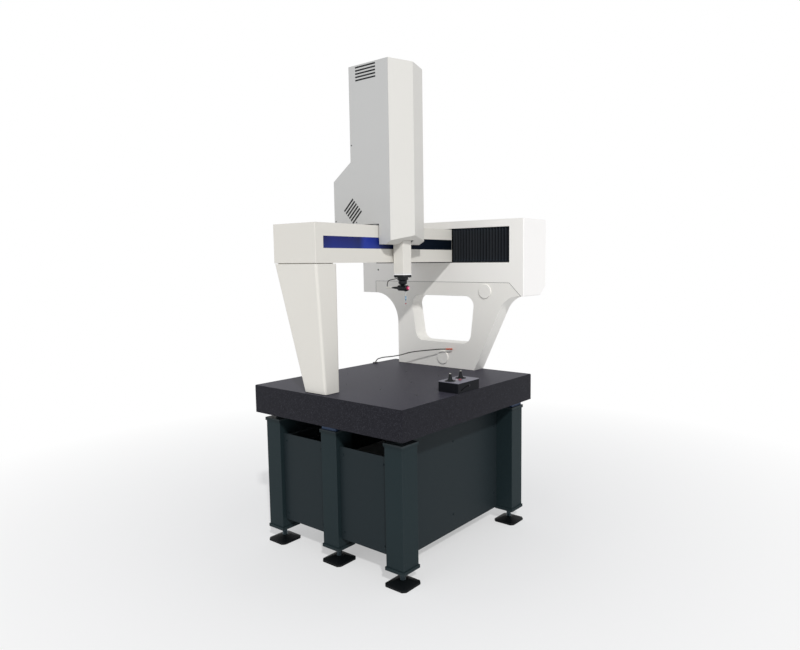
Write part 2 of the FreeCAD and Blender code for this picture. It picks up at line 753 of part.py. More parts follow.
def make_y_carriage(leg_pad):
    y = (beam_front, beam_rear)
    x0, x1 = ycar_x
    low, high = beam_z
    base = box((x0, x1), y, (low, low + ycar_plate))
    web = [box((x0, x1 - 20), (at, at + 16), (low, high)) for at in (y[0], y[1] - 16)]
    face = box((x0, x0 + 16), y, (low, high))
    gx0, gx1 = guide_x
    inner_ear, outer_ear, pads = [], [], []
    pad_z = (ear_low + low) / 2 - 4
    reach = air_gap + air_pad_t
    for off in ear_y:
        span = (y[0] + off, y[0] + off + ear_len)
        outer_ear.append(box((gx1 + reach, x1), span, (ear_low, low)))
        inner_ear.append(box((gx0 - reach - 14, gx0 - reach), span, (ear_low, low)))
        mid = sum(span) / 2
        for x, way in ((gx1 + air_gap, X), (gx0 - air_gap, V(-1, 0, 0))):
            pads.append(Part.makeCylinder(air_pad_r, air_pad_t, V(x, mid, pad_z), way))
        top = low - guide_z[1] - air_gap
        for x in (gx0 + 85,):
            pads.append(Part.makeCylinder(36, top, V(x, mid, guide_z[1] + air_gap)))
    shaft_hole = Part.makeCylinder(shaft_r + 1, ycar_plate,
                                   V(gx1 + wheel_r + wheel_gap, beam_front + ywheel_y, low))
    read = box((gx0 + 26, gx0 + 46), (beam_front + 90, beam_front + 140),
               (guide_z[1] + 2.3, low))
    keep("y_carriage", cut(join(base, *web, face, *outer_ear, *inner_ear, read), shaft_hole))
    keep("bridge_air_pads", pads + [leg_pad])
    wx, wy = gx1 + wheel_r + wheel_gap, beam_front + ywheel_y
    motor = Part.makeCylinder(motor_r, motor_len, V(wx, wy, low + ycar_plate))
    flange = box((wx - 28, wx + 28), (wy - 28, wy + 28), (low + ycar_plate, low + ycar_plate + 8))
    keep("y_motor", join(motor, flange))
    wheel_top = ywheel_z + wheel_w
    spin = Part.makeCylinder(shaft_r, low + ycar_plate - wheel_top, V(wx, wy, wheel_top))
    keep("y_drive_wheel", join(Part.makeCylinder(wheel_r, wheel_w, V(wx, wy, ywheel_z)), spin))


# ---------------------------------------------------------------- X saddle and Z guide
def make_saddle():
    x = (col_x[0] + 10, col_x[1] - 10)
    back = col_rear_low - skin - 0.5
    low, high = saddle_z
    gap = beam_front - air_gap - front_pad_t
    qx = (col_mid - quill / 2, col_mid + quill / 2)
    top = box(x, (beam_front - beam_play, back), (low, high))
    room = box((col_mid - xwheel_r - 4, col_mid + xwheel_r + 4),
               (beam_front + xwheel_room[0], beam_front + xwheel_room[1]), (low - 1, high + 1))
    towers = [box((x[0], qx[0] - 4), (quill_y - 29, gap), (tower_low, high)),
              box((qx[1] + 4, x[1]), (quill_y - 29, gap), (tower_low, high))]
    links = [box((x[0], qx[0] - 4), (gap - 1, beam_front), (low, high)),
             box((qx[1] + 4, x[1]), (gap - 1, beam_front), (low, high))]
    arm = box(x, (beam_rear + air_gap + rear_pad_t, back), (tower_low, high))
    read = box((col_mid - 60, col_mid - 40), (beam_rear - 62, beam_rear - 46),
               (beam_z[1] + 2.3, low))
    keep("x_saddle", cut(join(top, *towers, *links, arm, read), room))

    pads = []
    cols = (x[0] + xpad_in, x[1] - xpad_in)
    for px in cols:
        for behind in xpad_y:
            pads.append(Part.makeCylinder(air_pad_r, low - beam_z[1] - air_gap,
                                          V(px, beam_front + behind, beam_z[1] + air_gap)))
        pads.append(Part.makeCylinder(air_pad_r, front_pad_t,
                                      V(px, beam_front - air_gap, beam_z[0] + front_pad_up), V(0, -1, 0)))
        pads.append(Part.makeCylinder(rear_pad_r, rear_pad_t,
                                      V(px, beam_rear + air_gap, beam_z[0] + rear_pad_up), Y))
    keep("x_air_pads", pads)

    wz = beam_z[1] + xwheel_r + wheel_gap
    wy = beam_front + xwheel_y
    wheel = Part.makeCylinder(xwheel_r, wheel_w, V(col_mid, wy, wz), Y)
    shaft = Part.makeCylinder(shaft_r, 16, V(col_mid, wy + wheel_w, wz), Y)
    keep("x_drive_wheel", join(wheel, shaft))
    my = wy + wheel_w + motor_stand
    motor = Part.makeCylinder(motor_r, motor_len - motor_stand, V(col_mid, my, wz), Y)
    feet = box((col_mid - xwheel_r - 4, col_mid + xwheel_r + 4), (my, my + motor_foot[0]),
               (wz - motor_foot[1], wz + motor_foot[1]))
    bore = Part.makeCylinder(shaft_r + 0.5, 8, V(col_mid, my - 1, wz), Y)
    x_motor = join(motor, feet).cut(bore)

    half = quill / 2 + bearing_gap + 6
    g0, g1 = guide_box_z
    wide = half + guide_box_wall
    ring = box((col_mid - wide, col_mid + wide), (quill_y - wide, quill_y + wide), (g0, g1))
    ring = round_edges(ring, 5.0, lambda e: along(e, Z))
    ring = ring.cut(box((col_mid - half, col_mid + half), (quill_y - half, quill_y + half), (g0, g1)))
    zy = quill_y + quill / 2 + wheel_r + wheel_gap
    zz = g1 + 40
    stand = box((qx[1] + 1, qx[1] + 7), (quill_y + wide - 18, zy + 26), (g1, zz + 26))
    heel = box((qx[1] + 1, col_mid + wide - 3), (quill_y + wide - 18, quill_y + wide), (g1, g1 + 6))
    hole = Part.makeCylinder(shaft_r + 1, 20, V(qx[1] - 5, zy, zz), X)
    read = box((col_mid + quill / 2 + 1.8, col_mid + half), (quill_y + 16, quill_y + 30),
               (g0 + 50, g0 + 70))
    keep("z_guide", cut(join(ring, stand, heel, read), hole))
    blocks = []
    q = quill / 2 + bearing_gap
    side = bearing_size / 2
    for z in (g0 + bearing_inset, g1 - bearing_inset - bearing_size):
        for s in (-1, 1):
            a, b = sorted((col_mid + s * q, col_mid + s * half))
            blocks.append(box((a, b), (quill_y - side, quill_y + side), (z, z + bearing_size)))
            a, b = sorted((quill_y + s * q, quill_y + s * half))
            blocks.append(box((col_mid - side, col_mid + side), (a, b), (z, z + bearing_size)))
    keep("z_bearings", blocks)
    mx = qx[1] + 7
    z_motor = Part.makeCylinder(motor_r, col_x[1] - skin - 6 - mx, V(mx, zy, zz), X)
    z_motor = z_motor.cut(Part.makeCylinder(shaft_r + 0.5, 8, V(mx - 1, zy, zz), X))
    keep("column_motors", [x_motor, z_motor])
    wheel = Part.makeCylinder(wheel_r, wheel_w, V(col_mid - wheel_w / 2, zy, zz), X)
    shaft = Part.makeCylinder(shaft_r, mx + 5 - col_mid - wheel_w / 2, V(col_mid + wheel_w / 2, zy, zz),
                              X)
    keep("z_drive_wheel", join(wheel, shaft))

    top_z = cyl_z[1] + 13
    posts = [box((a, a + mast), mast_y, (high, top_z))
             for a in (mast_x[0], mast_x[1] - mast)]
    crown = box(mast_x, (quill_y - 24, mast_y[1]), (top_z, top_z + 12))
    tube = Part.makeCylinder(cyl_r, top_z - cyl_z[0], V(col_mid, quill_y, cyl_z[0]))
    bore = Part.makeCylinder(cyl_bore, cyl_z[1] - cyl_z[0], V(col_mid, quill_y, cyl_z[0]))
    keep("column_mast", [join(*posts, crown), tube.cut(bore)])


# ---------------------------------------------------------------- column covers
def column_block(t):
    """Column outline with every outer face moved in by t."""
    x0, x1 = col_x[0] + t, col_x[1] - t
    low, high = col_low + t, col_top - t
    fold = prow / ((col_x[1] - col_x[0]) / 2)
    back = t * math.sqrt(1 + fold * fold)
    front = col_front + back - t * fold
    tip = col_front - prow + back
    side = [(front + 10, low), (col_rear_low - t, low), (col_rear_low - t, col_slope_z[0]),
            (col_rear - t, col_slope_z[1]), (col_rear - t, high), (front + 10, high)]
    body = prism(side, "yz", x0, x1)
    nose = prism([(x0, front + 12), (x0, front), (col_mid, tip), (x1, front), (x1, front + 12)],
                 "xy", low, high)
    nose = round_edges(nose, max(6.0 - t, 1.0), lambda e: along(e, Z) and
                       abs(e.CenterOfMass.x - col_mid) < 0.1)
    body = join(body, nose)
    rise = t * math.sqrt(1 + chin_slope ** 2)
    far = col_front - prow - 40
    lift = chin_slope * (chin_y - far)
    chin = prism([(chin_y, col_low + rise), (far, col_low + rise + lift), (far, col_low - 90),
                  (chin_y + rise / chin_slope + 60, col_low - 90),
                  (chin_y + rise / chin_slope, col_low)], "yz", col_x[0] - 5, col_x[1] + 5)
    return body.cut(chin)


def make_covers():
    tunnel = box((col_x[0] - 5, col_x[1] + 5), (beam_front - beam_play, beam_rear + 2.5),
                 (col_low - 50, beam_z[1] + 8))
    shell = column_block(0).cut(column_block(skin)).cut(tunnel)
    hole = quill / 2 + quill_play
    shell = shell.cut(box((col_mid - hole, col_mid + hole + hole_side),
                          (quill_y - hole - hole_front, quill_y + hole), (col_low - 5, col_low + 60)))
    far = everywhere
    x_in = (col_x[0] + skin + seam / 2, col_x[1] - skin - seam / 2)
    y_cut = col_front + 1.0
    front = shell.common(box((-far, far), (-far, y_cut), (0, far)))
    floor = shell.common(box(x_in, (y_cut - 1, beam_front), (0, col_low + 40)))
    keep("column_front_cover", join(front, floor))
    left = shell.common(box((-far, x_in[0] - seam), (y_cut + seam, far), (0, far)))
    right = shell.common(box((x_in[1] + seam, far), (y_cut + seam, far), (0, far)))
    slots = []
    for k in range(vent_top_count):
        z = col_top - vent_top_drop + k * vent_top_pitch
        slots.append(box((-far, far), (col_rear - vent_top_y[0], col_rear - vent_top_y[1]),
                         (z - vent_h / 2, z + vent_h / 2)))
    lean = math.radians(vent_lean)
    for k in range(vent_side_count):
        slit = box((-far, far), (0, vent_side_len), (-vent_h / 2, vent_h / 2))
        slit.rotate(V(0, 0, 0), X, -vent_lean)
        step = k * vent_side_pitch
        slit.translate(V(0, col_rear - vent_side_y - step * math.sin(lean),
                         col_slope_z[0] - vent_side_drop - step * math.cos(lean)))
        slots.append(slit)
    keep("column_side_left", cut(left, *slots))
    keep("column_side_right", cut(right, *slots))
    rear = shell.common(box(x_in, (beam_rear - 200, far), (0, far)))
    lid = shell.common(box(x_in, (y_cut + seam, far), (col_top - skin - 1, far)))
    keep("column_rear_cover", join(rear, lid))
    heads = []
    low_rise, rear_rise = cover_screw_rise
    for y, z in ((col_rear - 9, col_slope_z[1] + cover_screw_up), (col_rear_low - 10, beam_z[1] + rear_rise),
                 (col_rear - cover_screw_y, beam_z[1] + low_rise)):
        heads.append(screw(V(col_x[0], y, z), V(-1, 0, 0), 3.5, 1.6))
        heads.append(screw(V(col_x[1], y, z), X, 3.5, 1.6))
    keep("cover_screws", heads)


# ---------------------------------------------------------------- quill and head
def make_quill():
    h = quill / 2
    z0, z1 = quill_z
    tube = box((col_mid - h, col_mid + h), (quill_y - h, quill_y + h), (z0, z1))
    tube = round_edges(tube, 2.0, lambda e: along(e, Z))
    i = h - quill_wall
    tube = tube.cut(box((col_mid - i, col_mid + i), (quill_y - i, quill_y + i), (z0, z1)))
    tape = box((col_mid + h, col_mid + h + 1), (quill_y + 17, quill_y + 27), (z0 + 214, z1 - 14))
    keep("quill", [tube, tape, Part.makeCylinder(rod_r, rod_len, V(col_mid, quill_y, z0))])
    block = box((col_mid - h, col_mid + h), (quill_y - h, quill_y + h), (z0 - end_block_t, z0))
    keep("quill_end_block", round_edges(block, 2.0, lambda e: along(e, Z)))
    top = z0 - end_block_t
    flange = box((col_mid - h, col_mid + h), (quill_y - h, quill_y + h), (top - probe_plate_t, top))
    flange = round_edges(flange, 3.0, lambda e: along(e, Z))
    bolts = [screw(V(col_mid + sx * 24, quill_y + sy * 24, top - probe_plate_t), V(0, 0, -1), 3.5, 1.5)
             for sx in (-1, 1) for sy in (-1, 1)]
    keep("probe_plate", [flange] + bolts)


def make_head():
    top, step, neck = head_z
    at = (col_mid, quill_y)
    steps = [(r, top - depth) for r, depth in head_steps]
    cone = turned([(0, top), (head_top_r, top), (head_top_r, step), *steps, (0, neck)], at)
    barrel = Part.makeCylinder(barrel_r, barrel_back, V(col_mid, quill_y, tilt_z), Y)
    barrel = round_edges(barrel, 2.0, lambda e: abs(e.CenterOfMass.y - quill_y - barrel_back) < 0.1)
    bridge = Part.makeCylinder(head_bridge_r, neck + 2 - tilt_z, V(*at, tilt_z), Z, 180)
    body = join(cone, barrel, bridge)
    pin = Part.makeCylinder(5, 16, V(col_mid, quill_y - 12, tilt_z), Y)
    plug = Part.makeCone(*plug_r, plug_len - 2, V(col_mid, quill_y + barrel_back, tilt_z), Y)
    keep("head_body", join(body, pin))
    elbow_y = quill_y + barrel_back + plug_len - 2
    sleeve = Part.makeCylinder(sleeve_r, elbow_run + 4, V(col_mid, elbow_y, tilt_z), Y)
    rise = Part.makeCylinder(rise_r, 5.8, V(col_mid, elbow_y + elbow_run, tilt_z))
    keep("jumper_plugs", [plug, join(sleeve, rise)])
    y_end = elbow_y + elbow_run
    start = quill_y + head_top_r + jumper_r * 0.2
    z0 = top - 4.0
    route = ((col_mid, start, z0), (col_mid, start + 20, z0 - 4), (col_mid, start + 49, z0 - 8),
             (col_mid, y_end - 1, tilt_z + 32), (col_mid, y_end, tilt_z + 5.8))
    keep("probe_jumper", bent_tube(route, jumper_r))

    drum = Part.makeCylinder(barrel_r, drum_front - drum_gap, V(col_mid, quill_y - drum_front, tilt_z), Y)
    drum = round_edges(drum, 1.5, lambda e: abs(e.CenterOfMass.y - quill_y + drum_front) < 0.1)
    socket = Part.makeCylinder(5.1, 12.6, V(col_mid, quill_y - 12.5, tilt_z), Y)
    seat = Part.makeCylinder(probe_r + 2, barrel_r / 2 + probe_seat,
                             V(col_mid, quill_y - probe_off, tilt_z - barrel_r - probe_seat))
    keep("head_drum", cut(join(drum, seat), socket))
    lens_y = quill_y - drum_front
    lens = Part.makeCylinder(lens_r, lens_t, V(col_mid, lens_y, tilt_z), V(0, -1, 0))
    keep("head_lens", round_edges(lens, lens_round,
                                  lambda e: abs(e.CenterOfMass.y - lens_y + lens_t) < 0.1))
    py = quill_y - probe_off
    pz1, pz0 = tilt_z - barrel_r - probe_seat, probe_low
    sz1, sz0 = stylus_z
    keep("probe_module", turned([(0, pz1), (probe_r, pz1), (probe_r, pz1 - 3.5), (shank_r, pz1 - 5),
                                 (shank_r, pz0), (0, pz0)], (col_mid, py)))
    holder = turned([(0, pz0), (probe_r - 1, pz0), (probe_r, pz0 - 1.2), (probe_r, sz1 + 4),
                     (shank_r, sz1), (0, sz1)], (col_mid, py))
    stem = Part.makeCylinder(stem_r, sz1 - sz0 - ball_r * 0.8,
                             V(col_mid, py, sz0 + ball_r * 0.8))
    keep("stylus", join(holder, stem))
    ball = Part.makeSphere(ball_r, V(col_mid, py, sz0))
    keep("stylus_ball", ball.cut(Part.makeCylinder(stem_r, 10, V(col_mid, py, sz0 + ball_r * 0.8))))


# ---------------------------------------------------------------- console and sensor
def make_console():
    x, y = con_x, con_y
    base = table_top
    top = base + con_h
    low_top = top - con_top_t
    case = box(x, y, (base, low_top))
    case = round_edges(case, 4.0, lambda e: along(e, Z))
    t = 3.0
    case = case.cut(box((x[0] + t, x[1] - t), (y[0] + t, y[1] - t), (base + t, low_top)))
    jack = V(x[1] - 77, y[0], base + 25)
    case = case.cut(Part.makeCylinder(4.1, 8, jack - Y, Y))
    socket = rod(4.0, jack - Y * 2, jack + Y * 8).cut(rod(2.5, jack - Y * 2, jack + Y * 5))
    keep("console_case", [case, socket])
    lid = box(x, y, (low_top, top))
    lid = round_edges(lid, 4.0, lambda e: along(e, Z))
    holes = [Part.makeCylinder(stick_hole_r, 10, V(a, b, low_top - 1)) for a, b in stick_at]
    holes.append(Part.makeCylinder(5.5, 10, V(*stop_at, low_top - 1)))
    keep("console_top", cut(lid, *holes))
    pivot = top - 6
    cups, flanges = [], []
    for name, (a, b) in zip(("joystick_left", "joystick_right"), stick_at):
        cup = Part.makeCylinder(19, 10, V(a, b, low_top - 10))
        cup = cup.cut(Part.makeCylinder(15, 10, V(a, b, low_top - 10)))
        cups.append(cup.cut(rod(1.6, V(a - 17, b, pivot), V(a + 17, b, pivot))))
        flanges.append(turned([(16.5, top), (stick_flange_r, top), (stick_flange_r, top + 1.0),
                               (stick_flange_r - 1.5, top + 1.8), (16.5, top + 1.8)], (a, b)))
        ring = Part.makeCylinder(13, 8, V(a, b, pivot - 4))
        ring = ring.cut(Part.makeCylinder(8.5, 8, V(a, b, pivot - 4)))
        ring = join(ring, rod(1.5, V(a - 16.6, b, pivot), V(a - 10, b, pivot)),
                    rod(1.5, V(a + 10, b, pivot), V(a + 16.6, b, pivot)))
        ring = ring.cut(rod(1.6, V(a, b - 14, pivot), V(a, b + 14, pivot)))
        keep(name + "_gimbal", ring)
        stick = join(Part.makeSphere(6.5, V(a, b, pivot)), rod(1.5, V(a, b - 12, pivot),
                                                             V(a, b + 12, pivot)),
                     turned([(0, pivot), (4, pivot), (4, top + 8), (9, top + 9.5), (9.5, top + 11.5),
                             (6.5, top + stick_h - 9), (5.5, top + stick_h), (0, top + stick_h)],
                            (a, b)))
        keep(name, stick)
    keep("joystick_mounts", cups + flanges)
    keep("stop_button", turned([(0, top - 8), (5, top - 8), (5, top + 2), (stop_r, top + 2),
                                (stop_r, top + 4.5), (stop_r - 2.5, top + 6.5), (0, top + 7)], stop_at))


def make_sensor():
    a = V(*arm_route[0])
    clip = box((a.x - 12, a.x + 12), (a.y - 10, a.y + 12), (table_top, a.z))
    clip = round_edges(clip, 2.0, lambda e: e.CenterOfMass.z > table_top + 0.5)
    keep("sensor_arm", join(clip, bent_tube(arm_route, arm_r)))
    last, end = V(*arm_route[-2]), V(*arm_route[-1])
    way = (end - last).normalize()
    tip = Part.makeCylinder(arm_r + 1.5, tip_len, end, way)
    keep("sensor_tip", round_edges(tip, 3.0, lambda e: (e.CenterOfMass - end).dot(way) > tip_len - 1))


make_table()
make_rails_and_panels(make_stand())
make_wall()
make_housing()
make_curtains()
make_y_carriage(make_bridge())
make_saddle()
make_covers()
make_quill()
make_head()
make_console()
make_sensor()

for name, group in pieces.items():
    shape = group[0] if len(group) == 1 else Part.makeCompound(group)
    shape = shape.copy()
    shape.translate(V(-centre_x, -centre_y, 0))
    loose = [s for s in shape.Solids if not s.isValid()]
    print(f"{name:22s} solids {len(shape.Solids):3d} volume {shape.Volume / 1e6:9.3f} dm3",
          "INVALID" if loose or not shape.Solids else "")
    shape.exportStep(f"parts/{name}.step")
print(len(pieces), "nodes, origin offset", centre_x, centre_y)
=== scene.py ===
import bpy
import math
from mathutils import Matrix, Vector


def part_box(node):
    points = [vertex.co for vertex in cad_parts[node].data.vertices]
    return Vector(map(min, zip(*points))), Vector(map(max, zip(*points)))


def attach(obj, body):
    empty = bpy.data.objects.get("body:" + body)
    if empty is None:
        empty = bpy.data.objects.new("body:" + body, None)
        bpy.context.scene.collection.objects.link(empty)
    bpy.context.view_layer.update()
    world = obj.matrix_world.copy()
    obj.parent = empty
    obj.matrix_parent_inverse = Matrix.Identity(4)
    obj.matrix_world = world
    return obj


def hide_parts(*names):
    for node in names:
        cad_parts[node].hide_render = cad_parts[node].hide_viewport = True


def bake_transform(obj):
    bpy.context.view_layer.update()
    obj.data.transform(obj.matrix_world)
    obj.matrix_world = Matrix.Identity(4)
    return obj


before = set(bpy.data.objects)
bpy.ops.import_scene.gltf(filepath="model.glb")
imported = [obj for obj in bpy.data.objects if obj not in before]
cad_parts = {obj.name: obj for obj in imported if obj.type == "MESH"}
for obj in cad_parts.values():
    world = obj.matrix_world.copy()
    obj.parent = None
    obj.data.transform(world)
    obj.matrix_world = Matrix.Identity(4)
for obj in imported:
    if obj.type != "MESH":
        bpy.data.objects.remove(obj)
scene = bpy.context.scene
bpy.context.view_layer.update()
mm = 0.001
print("frame loaded:", len(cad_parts), "nodes")


def added(name, data):
    piece = bpy.data.objects.new(name, data)
    scene.collection.objects.link(piece)
    return piece


# camera: heading is measured from +Y towards +X, pitch upwards
camera = {"place": (-2.5058, -2.2624, 1.3986), "heading": 52.683, "pitch": -5.818, "roll": -0.475,
          "sensor": 36, "lens": 28.93, "shift": (-0.0567, 0.0027), "reach": 60}


def makeCamera():
    data = bpy.data.cameras.new("studioCamera")
    data.sensor_width = camera["sensor"]
    data.lens = camera["lens"]
    data.shift_x, data.shift_y = camera["shift"]
    data.clip_end = camera["reach"]
    turn = (Matrix.Rotation(math.radians(-camera["heading"]), 4, "Z")
            @ Matrix.Rotation(math.radians(90 + camera["pitch"]), 4, "X")
            @ Matrix.Rotation(math.radians(camera["roll"]), 4, "Z"))
    scene.camera = added("studioCamera", data)
    scene.camera.matrix_world = Matrix.Translation(camera["place"]) @ turn


makeCamera()
print("camera set")


# ---- helpers for materials
def colour(code):
    parts = [int(code[i:i + 2], 16) / 255 for i in (1, 3, 5)]
    return [c / 12.92 if c <= 0.04045 else ((c + 0.055) / 1.055) ** 2.4 for c in parts] + [1.0]


def addNode(tree, kind, settings=None, links=None):
    # a number names a socket by its place: in a colour mix 0 is the share, 6 and 7 are the colours
    node = tree.nodes.new(kind)
    for name, value in (settings or {}).items():
        if name == "stops":                       # colour ramp: position, colour
            ramp = node.color_ramp
            while len(ramp.elements) < len(value):
                ramp.elements.new(0.5)
            for element, (place, tint) in zip(ramp.elements, value):
                element.position = place
                element.color = colour(tint)
        elif isinstance(name, int) or name in node.inputs:
            node.inputs[name].default_value = value
        else:
            setattr(node, name, value)
    for name, (source, output) in (links or {}).items():
        tree.links.new(source.outputs[output], node.inputs[name])
    return node


def newMaterial(name):
    # here is the link that gives a texture its place on the piece
    made = bpy.data.materials.new(name)
    made.use_nodes = True
    tree = made.node_tree
    tree.nodes.clear()
    here = {"Vector": (addNode(tree, "ShaderNodeTexCoord"), "Object")}
    return made, tree, here


def shaded(made, values, links):
    tree = made.node_tree
    shader = addNode(tree, "ShaderNodeBsdfPrincipled", values, links)
    addNode(tree, "ShaderNodeOutputMaterial", None, {"Surface": (shader, "BSDF")})
    return made


def grain(sizeMm):
    return 1000 / sizeMm                          # noise scale whose features are about this wide


# ---- materials
def powderCoat(name, tone, shade, peelMm=2.2, rough=0.42, wear=0.0, shine=0.5):
    # polyester powder coat on sheet: low orange peel, a soft even sheen and a faint drift of tone
    made, tree, here = newMaterial(name)
    drift = addNode(tree, "ShaderNodeTexNoise", {"Scale": 2.5, "Detail": 3.0}, here)
    tint = addNode(tree, "ShaderNodeMix", {"data_type": "RGBA", 6: colour(tone), 7: colour(shade)},
                   {0: (drift, "Fac")})
    # the peel is a millimetre or two wide, which is as fine as it can be drawn
    peel = addNode(tree, "ShaderNodeTexNoise", {"Scale": grain(peelMm), "Detail": 2.0}, here)
    bump = addNode(tree, "ShaderNodeBump", {"Strength": 0.12, "Distance": 0.0004},
                   {"Height": (peel, "Fac")})
    gloss = addNode(tree, "ShaderNodeMapRange", {"To Min": rough - 0.05, "To Max": rough + 0.08},
                    {"Value": (drift, "Fac")})
    if wear:                                      # edges rub a little paler
        edge = addNode(tree, "ShaderNodeNewGeometry")
        rubbed = addNode(tree, "ShaderNodeMapRange", {"From Min": 0.54, "From Max": 0.66, "To Max": wear},
                         {"Value": (edge, "Pointiness")})
        tint = addNode(tree, "ShaderNodeMix", {"data_type": "RGBA", 7: colour("#8A8D8E")},
                       {0: (rubbed, "Result"), 6: (tint, "Result")})
    return shaded(made, {"IOR": 1.5, "Specular IOR Level": shine},
                  {"Base Color": (tint, "Result"), "Roughness": (gloss, "Result"),
                   "Normal": (bump, "Normal")})


def lappedGranite(name, dark, mid, fleck, top, rough, shine):
    # fine black gabbro: small pale feldspar flecks in a near-black ground; upward faces get a paler colour
    # added, painted light for the bright studio reflected in the lapped top
    made, tree, here = newMaterial(name)
    # crystals are about a millimetre; they are drawn 3 mm wide so that they show at all
    crystals = addNode(tree, "ShaderNodeTexVoronoi", {"Scale": grain(3.2), "feature": "F1"}, here)
    ground = addNode(tree, "ShaderNodeTexNoise", {"Scale": grain(9), "Detail": 6.0, "Roughness": 0.7}, here)
    base = addNode(tree, "ShaderNodeValToRGB", {"stops": [(0.3, dark), (0.72, mid)]},
                   {"Fac": (ground, "Fac")})
    chance = addNode(tree, "ShaderNodeSeparateColor", None, {"Color": (crystals, "Color")})
    pale = addNode(tree, "ShaderNodeMath", {"operation": "GREATER_THAN", 1: 0.86}, {0: (chance, "Red")})
    near = addNode(tree, "ShaderNodeMapRange",
                   {"From Min": 0.28, "From Max": 0.42, "To Min": 0.75, "To Max": 0.0},
                   {"Value": (crystals, "Distance")})
    share = addNode(tree, "ShaderNodeMath", {"operation": "MULTIPLY"}, {0: (pale, 0), 1: (near, "Result")})
    tint = addNode(tree, "ShaderNodeMix", {"data_type": "RGBA", 7: colour(fleck)},
                   {0: (share, 0), 6: (base, "Color")})
    # painted light: faces that point up get the top colour added, for the reflection of the bright studio in
    # the lapped top
    facing = addNode(tree, "ShaderNodeNewGeometry")
    height = addNode(tree, "ShaderNodeSeparateXYZ", None, {"Vector": (facing, "True Normal")})
    topLightShare = addNode(tree, "ShaderNodeMapRange", {"From Min": 0.8, "From Max": 0.95},
                     {"Value": (height, "Z")})
    paintedTopLight = addNode(tree, "ShaderNodeMix", {"data_type": "RGBA", "blend_type": "ADD", 7: colour(top)},
                   {0: (topLightShare, "Result"), 6: (tint, "Result")})
    gloss = addNode(tree, "ShaderNodeMapRange", {"To Min": rough - 0.06, "To Max": rough + 0.1},
                    {"Value": (ground, "Fac")})
    bump = addNode(tree, "ShaderNodeBump", {"Strength": 0.08, "Distance": 0.0005},
                   {"Height": (ground, "Fac")})
    return shaded(made, {"Specular IOR Level": shine},
                  {"Base Color": (paintedTopLight, "Result"), "Roughness": (gloss, "Result"),
                   "Normal": (bump, "Normal")})


def machinedMetal(name, tone, rough, brush=(1, 1, 40), metal=1.0):
    # ground or turned metal: fine lines across one way spread the highlight
    made, tree, here = newMaterial(name)
    stretch = addNode(tree, "ShaderNodeMapping", {"Scale": brush}, here)
    lines = addNode(tree, "ShaderNodeTexNoise", {"Scale": 60.0, "Detail": 4.0},
                    {"Vector": (stretch, "Vector")})
    gloss = addNode(tree, "ShaderNodeMapRange", {"To Min": rough * 0.7, "To Max": rough * 1.3},
                    {"Value": (lines, "Fac")})
    bump = addNode(tree, "ShaderNodeBump", {"Strength": 0.15, "Distance": 0.0002},
                   {"Height": (lines, "Fac")})
    return shaded(made, {"Base Color": colour(tone), "Metallic": metal},
                  {"Roughness": (gloss, "Result"), "Normal": (bump, "Normal")})


def mouldedPlastic(name, tone, rough, textureMm=1.2, depth=0.3, shine=0.5):
    # injection moulded plastic with a spark-eroded grain, so the highlight is wide and slightly broken
    made, tree, here = newMaterial(name)
    pits = addNode(tree, "ShaderNodeTexNoise", {"Scale": grain(textureMm), "Detail": 3.0}, here)
    bump = addNode(tree, "ShaderNodeBump", {"Strength": depth, "Distance": 0.0003},
                   {"Height": (pits, "Fac")})
    gloss = addNode(tree, "ShaderNodeMapRange", {"To Min": rough - 0.05, "To Max": rough + 0.07},
                    {"Value": (pits, "Fac")})
    return shaded(made, {"Base Color": colour(tone), "IOR": 1.53, "Specular IOR Level": shine},
                  {"Roughness": (gloss, "Result"), "Normal": (bump, "Normal")})


def bandFilm(name, lowest, highest):
    # printed film under clear lacquer: a plain fade from royal blue to near black along the beam, with a
    # painted reflection on part of its lower edge
    made, tree, here = newMaterial(name)
    split = addNode(tree, "ShaderNodeSeparateXYZ", None, here)
    along = addNode(tree, "ShaderNodeMapRange", {"From Min": lowest.x, "From Max": highest.x},
                    {"Value": (split, "X")})
    fade = addNode(tree, "ShaderNodeValToRGB",
                   {"stops": [(0.0, "#080F4C"), (0.06, "#0D1766"), (0.19, "#0B1459"), (0.235, "#0A1249"),
                              (0.275, "#162B8E"), (0.34, "#142780"), (0.42, "#101D4C"), (0.52, "#0D1626"),
                              (1.0, "#0B1118")]}, {"Fac": (along, "Result")})
    # a painted reflection: a paler blue along the lower edge, fading upwards and ending a third of the way
    # along
    rise = addNode(tree, "ShaderNodeMapRange",
                   {"From Min": lowest.z, "From Max": highest.z, "To Min": 0.2, "To Max": 0.0},
                   {"Value": (split, "Z")})
    reflectionReach = addNode(tree, "ShaderNodeMapRange",
                    {"From Min": 0.3, "From Max": 0.45, "To Min": 1.0, "To Max": 0.0},
                    {"Value": (along, "Result")})
    share = addNode(tree, "ShaderNodeMath", {"operation": "MULTIPLY"},
                    {0: (rise, "Result"), 1: (reflectionReach, "Result")})
    film = addNode(tree, "ShaderNodeMix", {"data_type": "RGBA", 7: colour("#2A4FB4")},
                   {0: (share, 0), 6: (fade, "Color")})
    return shaded(made, {"Roughness": 0.3, "Specular IOR Level": 0.15, "Coat Weight": 0.12,
                         "Coat Roughness": 0.1}, {"Base Color": (film, "Result")})


